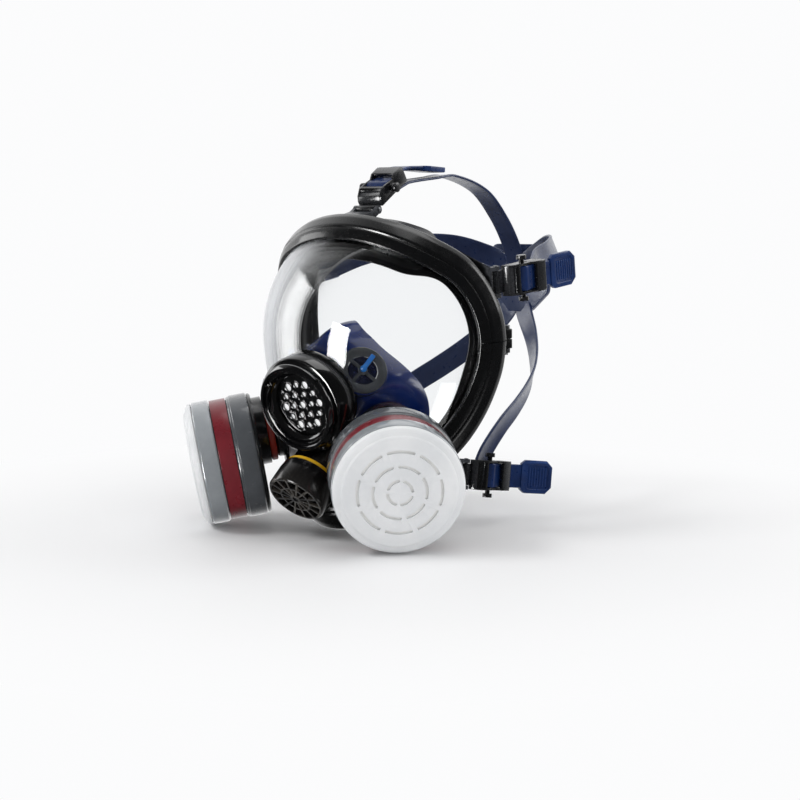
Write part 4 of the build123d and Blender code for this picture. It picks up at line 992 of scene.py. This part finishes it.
# ------------------------------------------------------------------ strap ends
# strap beyond the buckle: (along, out) from the pin
STRAP_START = [(30.0, -1.5), (26.5, -1.0), (23.0, 0.7)]
STRAP_RETURN = [(23.6, 8.6), (27.0, 7.6), (32.0, 7.2)]
STRAP_TAIL = {"top": [(38, 7.2), (44, 6.4), (52, 2.6), (66, -6.5), (82, -18.5)],
              "temple": [(38, 7.4), (46, 7.0), (54, 6.6), (62, 6.3), (71, 6.0)],
              "cheek": [(38, 7.6), (44, 8.6), (53, 11.4), (63, 15.3), (74, 19.6)]}
TAB_OUTLINE = [(-13, -9.5), (-9.5, -12), (8, -12), (13, -7.5), (13, 7.5), (8, 12), (-9.5, 12),
               (-13, 9.5)]
RIB_PITCH, RIB_HEIGHT = 2.4, 0.55
BAR_PITCH = 2.3


def band_section(half_thick, ridge, border):
    """(across, through) section of a band with rounded edges and raised borders."""
    half = STRAP_WIDTH / 2
    turns = [-math.pi / 2 + math.pi * k / 8 for k in range(9)]
    points = [(half - half_thick + math.cos(a) * half_thick, math.sin(a) * half_thick)
              for a in turns]
    sunk, step = half_thick - ridge, half - border - 0.5
    points += [(half - border, half_thick), (step, sunk), (0.0, sunk), (-step, sunk),
               (-(half - border), half_thick)]
    points += [(-(half - half_thick) + math.cos(a + math.pi) * half_thick,
                math.sin(a + math.pi) * half_thick) for a in turns]
    return points + [(-half / 2, -half_thick), (half / 2, -half_thick)]


def strap_path(kind):
    """(along, out) path from under the buckle, round the roller and back to the tail."""
    wrap_r = ROLLER_R + ROLLER_CLEAR + STRAP_THICK / 2
    path = STRAP_START + [(ROLLER_ALONG, ROLLER_OUT - wrap_r)]
    for k in range(1, 8):
        turn = -math.pi / 2 - math.pi * k / 8
        path.append((ROLLER_ALONG + wrap_r * math.cos(turn),
                     ROLLER_OUT + wrap_r * math.sin(turn)))
    return path + [(ROLLER_ALONG, ROLLER_OUT + wrap_r)] + STRAP_RETURN + STRAP_TAIL[kind]


def strap_rings(name, path):
    """Strap sections, with cross ribs on the outer face of the tail."""
    pin, along, across, out = buckle_frame(name)
    dense, runs = open_curve(path, 0.3)
    section = band_section(STRAP_THICK / 2, ridge=0.35, border=1.5)
    half = STRAP_WIDTH / 2
    rings = []
    for i, point in enumerate(dense):
        ahead = direction_at(dense, i)
        turn_in = vec(-ahead[1], ahead[0])
        rib = 0.0
        if 28 < runs[i] < runs[-1] - 20:
            phase = (runs[i] % RIB_PITCH) / RIB_PITCH
            rib = RIB_HEIGHT * smoothstep(0.5 - abs(phase - 0.5), 0.12, 0.26)
        ring = []
        for width, through in section:
            raised = 0.0
            if through > 0 and abs(width) < half - 1.7:
                raised = rib
            elif through > 0 and abs(width) < half - 0.4:
                raised = rib * 0.6
            spot = point - turn_in * (through + raised)
            ring.append(pin + along * spot[0] + out * spot[1] + across * width)
        rings.append(ring)
    return rings


def build_tab(name, path):
    """Pull tab at the tail's end with a sunk panel, and the grip bars in that panel."""
    pin, along, _, out = buckle_frame(name)
    start, end = path[-3], path[-1]
    length = math.hypot(end[0] - start[0], end[1] - start[1])
    run, rise = (end[0] - start[0]) / length, (end[1] - start[1]) / length
    tab_along = along * run + out * rise
    tab_out = unit(out * run - along * rise)
    axes = (tab_along, np.cross(tab_out, tab_along), tab_out)
    centre = pin + along * end[0] + out * end[1] - tab_along * 12
    tab = prism("tab", TAB_OUTLINE, centre - tab_out * 1.7, axes, 0, 3.4, "strap_navy")
    panel = rounded_rect(18, 18, 2.5) + (1, 0)
    boolean(tab, prism("cut", panel, centre + tab_out * 1.0, axes, 0, 2, "strap_navy"))
    bevel_edges(tab, 0.55, 3, angle=35)
    bars = [prism("bar", rounded_rect(1.1, 13.5, 0.5),
                  centre + tab_along * (1 + k * BAR_PITCH) + tab_out * 0.9, axes, -0.4, 0.55,
                  "strap_navy", bevel=0.25) for k in range(-3, 4)]
    return tab, bars


def build_straps():
    for name in BUCKLES:
        path = strap_path(name.split("_")[0])
        strap = tube("strap_" + name, strap_rings(name, path), "strap_navy")
        tab, bars = build_tab(name, path)
        boolean(strap, tab, "UNION")
        shade(strap, 42)
        stands_for(join([strap] + bars, "strap_" + name), "strap_" + name)


# ------------------------------------------------------------------ head harness
HEAD_CENTRE, HEAD_RADII = vec(0, 80, 0), vec(78, 105, 104)
# first stretch under a buckle: (along, out) from the pin
TOP_START = [(23, -0.5), (30, -1.7), (36, -2.8), (43, -4.6)]
TEMPLE_START = [(23, -0.5), (30, -1.7), (36, -3.0), (43, -6.0)]
# onward points to the rear pad: (x, y, z), for the left side
TOP_ARM = [(0, 70, 100.5), (0, 93, 102.5), (0, 134, 92), (0, 160, 72), (0, 178, 50),
           (0, 186, 32)]
TEMPLE_ARM = [(82, 92, 42), (76, 116, 47), (63, 142, 51), (44, 163, 50), (22, 179, 42),
              (6, 186, 34)]
# cheek arm on the left side: (x, y, z) and the way its outer face points
CHEEK_ARM = [
    (59.3, 50, -108.5, 1, 0, -0.1), (58.7, 60, -96, 1, 0.05, -0.1),
    (59, 80, -79, 1, 0.15, -0.12), (57, 102, -67, 1, 0.3, -0.15),
    (52, 124, -56, 0.95, 0.5, -0.15), (44.5, 143, -46, 0.8, 0.7, -0.15),
    (34, 160, -34, 0.6, 0.85, -0.15), (22, 174, -20, 0.4, 0.95, -0.1),
    (10, 183, -4, 0.2, 1, -0.1), (5, 186, 6, 0.1, 1, 0)]


def head_out(point):
    """Outward direction of the head ellipsoid at a point."""
    return unit((vec(*point) - HEAD_CENTRE) / HEAD_RADII ** 2)


def build_arm(kind, start, points, outs=None):
    """Harness arm from under its buckle to the rear pad."""
    pin, along, _, out = buckle_frame(kind)
    path = [pin + along * a + out * b for a, b in start] + [vec(*p) for p in points]
    outs = np.array([out] * len(start) + [vec(*o) for o in outs or map(head_out, points)])
    dense, runs = open_curve(path, 1.2)
    shares = runs / runs[-1]
    keys = run_lengths(np.array(path))
    keys = keys / keys[-1]
    section = band_section(0.95, ridge=0.3, border=1.6)
    rings = []
    for i, point in enumerate(dense):
        ahead = direction_at(dense, i)
        face = interp_rows(shares[i], keys, outs)
        face = unit(face - ahead * face.dot(ahead))
        side = np.cross(face, ahead)
        rings.append([point + side * width + face * through for width, through in section])
    arm = shade(tube("harness_arm_" + kind, rings, "strap_arm"), 45)
    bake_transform(arm)
    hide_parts("harness")


def build_harness_pad():
    """Eight-sided rear pad with a sunk face and five raised ribs."""
    outline = round_poly([(-14, -27), (14, -27), (30, -12), (32, 8), (20, 26), (-20, 26),
                          (-32, 8), (-30, -12)], 7, 6)
    origin, axes = vec(0, 183.5, 25), (X, Z, Y)
    pad = prism("harness_pad", outline, origin, axes, 0, 5, "strap_arm")
    boolean(pad, prism("cut", outline * 0.8, origin, axes, 4.2, 8, "strap_arm"))
    shade(bevel_edges(pad, 1.0, 3, angle=35), 40)
    ribs = [prism("rib", rounded_rect(34 - abs(k) * 5, 3.0, 1.4), origin + Z * (k * 8.0),
                  axes, 3.8, 5.2, "strap_arm", bevel=0.5) for k in range(-2, 3)]
    pad = join([pad] + ribs, "harness_pad")
    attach(pad, "root")
    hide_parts("harness")


def build_harness():
    build_arm("top", TOP_START, TOP_ARM)
    for side, hand in SIDES:
        build_arm("temple_" + hand, TEMPLE_START, [(side * x, y, z) for x, y, z in TEMPLE_ARM])
        build_arm("cheek_" + hand, [], [(side * q[0], q[1], q[2]) for q in CHEEK_ARM],
                  [(side * q[3], q[4], q[5]) for q in CHEEK_ARM])
    build_harness_pad()


# ------------------------------------------------------------------ CAD pieces shown as they are
# material: its pieces; other buckle and roller pieces are buckle_black, the rest filter_black
CAD_LOOKS = {
    "plated_steel": ("frame_screws", "frame_nuts", "buckle_pins"),
    "voice_black": ("voicemitter_housing", "voicemitter_grille", "voicemitter_retainer",
                    "voicemitter_clamp"),
    "seal_rubber": ("voicemitter_gasket",),
    "valve_black": ("exhale_seat", "exhale_cover", "exhale_nut"),
    "seat_grey": ("check_seat_left", "check_seat_right"),
    "lug_black": ("strap_lugs",),
    "carbon_granules": ("carbon_bed_left", "carbon_bed_right")}
# start of a piece's name: bevel width
CAD_BEVELS = {
    "voicemitter_housing": 0.45, "voicemitter_grille": 0.3, "exhale_cover": 0.35,
    "check_seat": 0.3, "buckle_": 0.5, "roller_": 0.5, "strap_lugs": 0.8,
    "frame_screws": 0.25, "frame_nuts": 0.25, "filter_base": 0.4, "port_left": 0.4,
    "port_right": 0.4, "exhale_seat": 0.3}
CAD_SHARP = 38                       # degrees above which an edge is sharp


def make_smooth_group():
    """Geometry nodes: smooth faces, with edges above the angle kept sharp."""
    group = bpy.data.node_groups.new("smooth_%d" % CAD_SHARP, "GeometryNodeTree")
    for way in ("INPUT", "OUTPUT"):
        group.interface.new_socket("Geometry", in_out=way, socket_type="NodeSocketGeometry")
    source = add_node(group, "NodeGroupInput")
    result = add_node(group, "NodeGroupOutput")
    angle = add_node(group, "GeometryNodeInputMeshEdgeAngle").outputs["Unsigned Angle"]
    below = add_node(group, "FunctionNodeCompare", {"B": math.radians(CAD_SHARP), "A": angle},
                     data_type="FLOAT", operation="LESS_THAN")
    faces = add_node(group, "GeometryNodeSetShadeSmooth", {"Geometry": source.outputs[0]},
                     domain="FACE")
    edges = add_node(group, "GeometryNodeSetShadeSmooth",
                     {"Geometry": faces.outputs[0], "Shade Smooth": below.outputs[0]},
                     domain="EDGE")
    feed(group, result, {0: edges.outputs[0]})
    return group


def dress_cad():
    look_of = {node: look for look, nodes in CAD_LOOKS.items() for node in nodes}
    smooth_group = make_smooth_group()
    for node, ob in cad["nodes"].items():
        if ob.hide_render:
            continue
        is_buckle = node.startswith(("buckle_", "roller_"))
        look = look_of.get(node, "buckle_black" if is_buckle else "filter_black")
        ob.data.materials.clear()
        ob.data.materials.append(LOOKS[look])
        weld = ob.modifiers.new("weld", "WELD")
        weld.merge_threshold = 0.000004
        width = next((w for start, w in CAD_BEVELS.items() if node.startswith(start)), 0.0)
        if width:
            bevel = ob.modifiers.new("bevel", "BEVEL")
            bevel.width, bevel.segments = width * METRES, 2
            bevel.limit_method, bevel.angle_limit = "ANGLE", math.radians(CAD_SHARP)
        ob.data.polygons.foreach_set("use_smooth", [True] * len(ob.data.polygons))
        ob.modifiers.new("smooth", "NODES").node_group = smooth_group


# ------------------------------------------------------------------ camera (metres)
VIEW_TURN, VIEW_RISE = math.radians(38), math.radians(6.5)
VIEW_DISTANCE = 1.150
VIEW_BACK = vec(math.sin(VIEW_TURN) * math.cos(VIEW_RISE),
                -math.cos(VIEW_TURN) * math.cos(VIEW_RISE), math.sin(VIEW_RISE))
VIEW_RIGHT = vec(math.cos(VIEW_TURN), math.sin(VIEW_TURN), 0)
VIEW_UP = np.cross(VIEW_BACK, VIEW_RIGHT)
SHIFT_RIGHT, SHIFT_DOWN = 0.02216952, 0.05595165
CAMERA_AT = VIEW_BACK * VIEW_DISTANCE + VIEW_RIGHT * SHIFT_RIGHT - VIEW_UP * SHIFT_DOWN


def axes_matrix(right, up, back, place):
    rows = [(right[i], up[i], back[i], place[i]) for i in range(3)]
    return Matrix(rows + [(0, 0, 0, 1)])


def add_camera():
    camera = bpy.data.cameras.new("cam")
    camera.sensor_width, camera.lens = 36.0, 73.53
    camera.clip_start = 0.05
    ob = bpy.data.objects.new("cam", camera)
    bpy.context.scene.collection.objects.link(ob)
    ob.matrix_world = axes_matrix(VIEW_RIGHT, VIEW_UP, VIEW_BACK, CAMERA_AT)
    bpy.context.scene.camera = ob


# ------------------------------------------------------------------ floor and world
BACKDROP = (0.97, 0.972, 0.978, 1)
FLOOR_HALF, FLOOR_GAP = 14.0, 0.0015


def floor_material():
    """Pale floor that fades into the backdrop away from the mask."""
    made, tree = new_material("floor")
    near = tree.nodes["Principled BSDF"]
    noise = add_node(tree, "ShaderNodeTexNoise", {"Scale": 120})
    bump = add_node(tree, "ShaderNodeBump", {"Distance": 0.00005,
                                             "Height": noise.outputs["Fac"]})
    feed(tree, near, {"Base Color": (0.93, 0.93, 0.935, 1), "Roughness": 0.6,
                      "Normal": bump.outputs["Normal"]})
    place = add_node(tree, "ShaderNodeTexCoord").outputs["Object"]
    radius = add_node(tree, "ShaderNodeVectorMath", {0: place}, operation="LENGTH")
    fade = add_node(tree, "ShaderNodeMapRange",
                    {"From Min": 0.16, "From Max": 0.46, "Value": radius.outputs["Value"]},
                    interpolation_type="SMOOTHSTEP")
    far = add_node(tree, "ShaderNodeEmission", {"Color": BACKDROP})
    mix = add_node(tree, "ShaderNodeMixShader", {"Fac": fade.outputs[0], 1: near.outputs[0],
                                                 2: far.outputs[0]})
    feed(tree, tree.nodes["Material Output"], {"Surface": mix.outputs[0]})
    return made


def add_floor():
    material = floor_material()
    z = min(p[2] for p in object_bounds()) - FLOOR_GAP
    corners = [(x * FLOOR_HALF, y * FLOOR_HALF, z)
               for x, y in ((-1, -1), (1, -1), (1, 1), (-1, 1))]
    mesh = bpy.data.meshes.new("floor")
    mesh.from_pydata(corners, [], [(0, 1, 2, 3)])
    mesh.materials.append(material)
    ob = bpy.data.objects.new("floor", mesh)
    bpy.context.scene.collection.objects.link(ob)
    ob.visible_glossy = False
    ob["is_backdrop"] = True


def add_world():
    """Full strength to the camera, even light to diffuse rays, and reflections that
    brighten towards the far side of the scene."""
    world = bpy.data.worlds.new("world")
    bpy.context.scene.world = world
    world.use_nodes = True
    tree = world.node_tree
    toward = add_node(tree, "ShaderNodeTexCoord").outputs["Generated"]
    parts = add_node(tree, "ShaderNodeSeparateXYZ", {0: toward})
    height = add_node(tree, "ShaderNodeMapRange",
                      {"From Min": -1, "From Max": 1, "Value": parts.outputs["Z"]})
    colour = add_ramp(tree, height.outputs[0], (0.30, BACKDROP), (0.80, BACKDROP))
    rays = add_node(tree, "ShaderNodeLightPath")
    away = tuple(float(v) for v in unit(vec(-VIEW_BACK[0], -VIEW_BACK[1], 0.25)))
    aim = add_node(tree, "ShaderNodeVectorMath", {0: toward, 1: away}, operation="DOT_PRODUCT")
    sweep = add_node(tree, "ShaderNodeMapRange",
                     {"From Min": 0.0, "From Max": 0.95, "To Min": 0.04, "To Max": 1.1,
                      "Value": aim.outputs["Value"]}, interpolation_type="SMOOTHSTEP")
    indirect = add_node(tree, "ShaderNodeMapRange",
                        {"To Min": 0.55, "To Max": sweep.outputs[0],
                         "Value": rays.outputs["Is Glossy Ray"]})
    strength = add_node(tree, "ShaderNodeMix",
                        {"Factor": rays.outputs["Is Camera Ray"], "A": indirect.outputs[0],
                         "B": 1.0}, data_type="FLOAT")
    feed(tree, tree.nodes["Background"], {"Color": colour, "Strength": strength.outputs[0]})


# ------------------------------------------------------------------ lights
# places on the lens where the camera sees a light mirrored: (x, y, z) in mm
WINDOW_GLINT = (21.56600, -62.08390, -24.36356)
STRIP_GLINT = (73.66197, -13.40060, -58.08160)


def area(name, place, width, height, power, target=(0, 0, 0), up=Z, unseen_by=None):
    """Area light facing its target; unseen_by names a kind of ray that skips it."""
    light = bpy.data.lights.new(name, "AREA")
    light.shape, light.size, light.size_y, light.energy = "RECTANGLE", width, height, power
    ob = bpy.data.objects.new(name, light)
    bpy.context.scene.collection.objects.link(ob)
    back = unit(vec(*place) - vec(*target))
    right = unit(np.cross(up, back))
    ob.matrix_world = axes_matrix(right, np.cross(back, right), back, place)
    ob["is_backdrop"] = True
    if unseen_by:
        setattr(ob, "visible_" + unseen_by, False)


def mirrored_area(name, glint, distance, lean=0.0, **options):
    """Area light the camera sees mirrored at a place on the lens; lean is in degrees."""
    target = vec(*glint) * METRES
    sight = unit(target - CAMERA_AT)
    normal = lens_normal(glint[0], glint[2])
    bounce = unit(sight - 2 * sight.dot(normal) * normal)
    up = Z * math.cos(math.radians(lean)) + VIEW_RIGHT * math.sin(math.radians(lean))
    area(name, target + bounce * distance, target=target, up=up, **options)


def add_lights():
    mirrored_area("key_window", WINDOW_GLINT, distance=2.2, lean=22, width=0.66, height=1.6,
                  power=80, unseen_by="diffuse")
    area("key", (-1.5, -1.7, 2.3), width=1.0, height=0.7, power=27, unseen_by="glossy")
    area("fill", (2.4, -1.2, 1.0), width=1.6, height=1.6, power=9, unseen_by="glossy")
    area("top", (0.2, 0.5, 2.6), width=1.6, height=1.6, power=13)
    area("side_left", -VIEW_RIGHT * 1.5 - VIEW_BACK * 0.5 + Z * 0.2, width=0.8, height=1.4,
         power=11.0, unseen_by="diffuse")
    area("rim", (1.6, 2.0, 1.2), width=1.0, height=1.4, power=14)
    mirrored_area("strip", STRIP_GLINT, distance=1.8, width=0.5, height=0.5, power=2.0)


build_lens()
build_frame()
build_seal()
build_cup()
build_filters()
build_turned_parts()
build_straps()
build_harness()
dress_cad()
add_camera()
add_floor()
add_world()
add_lights()
bpy.context.scene.view_settings.view_transform = "Standard"
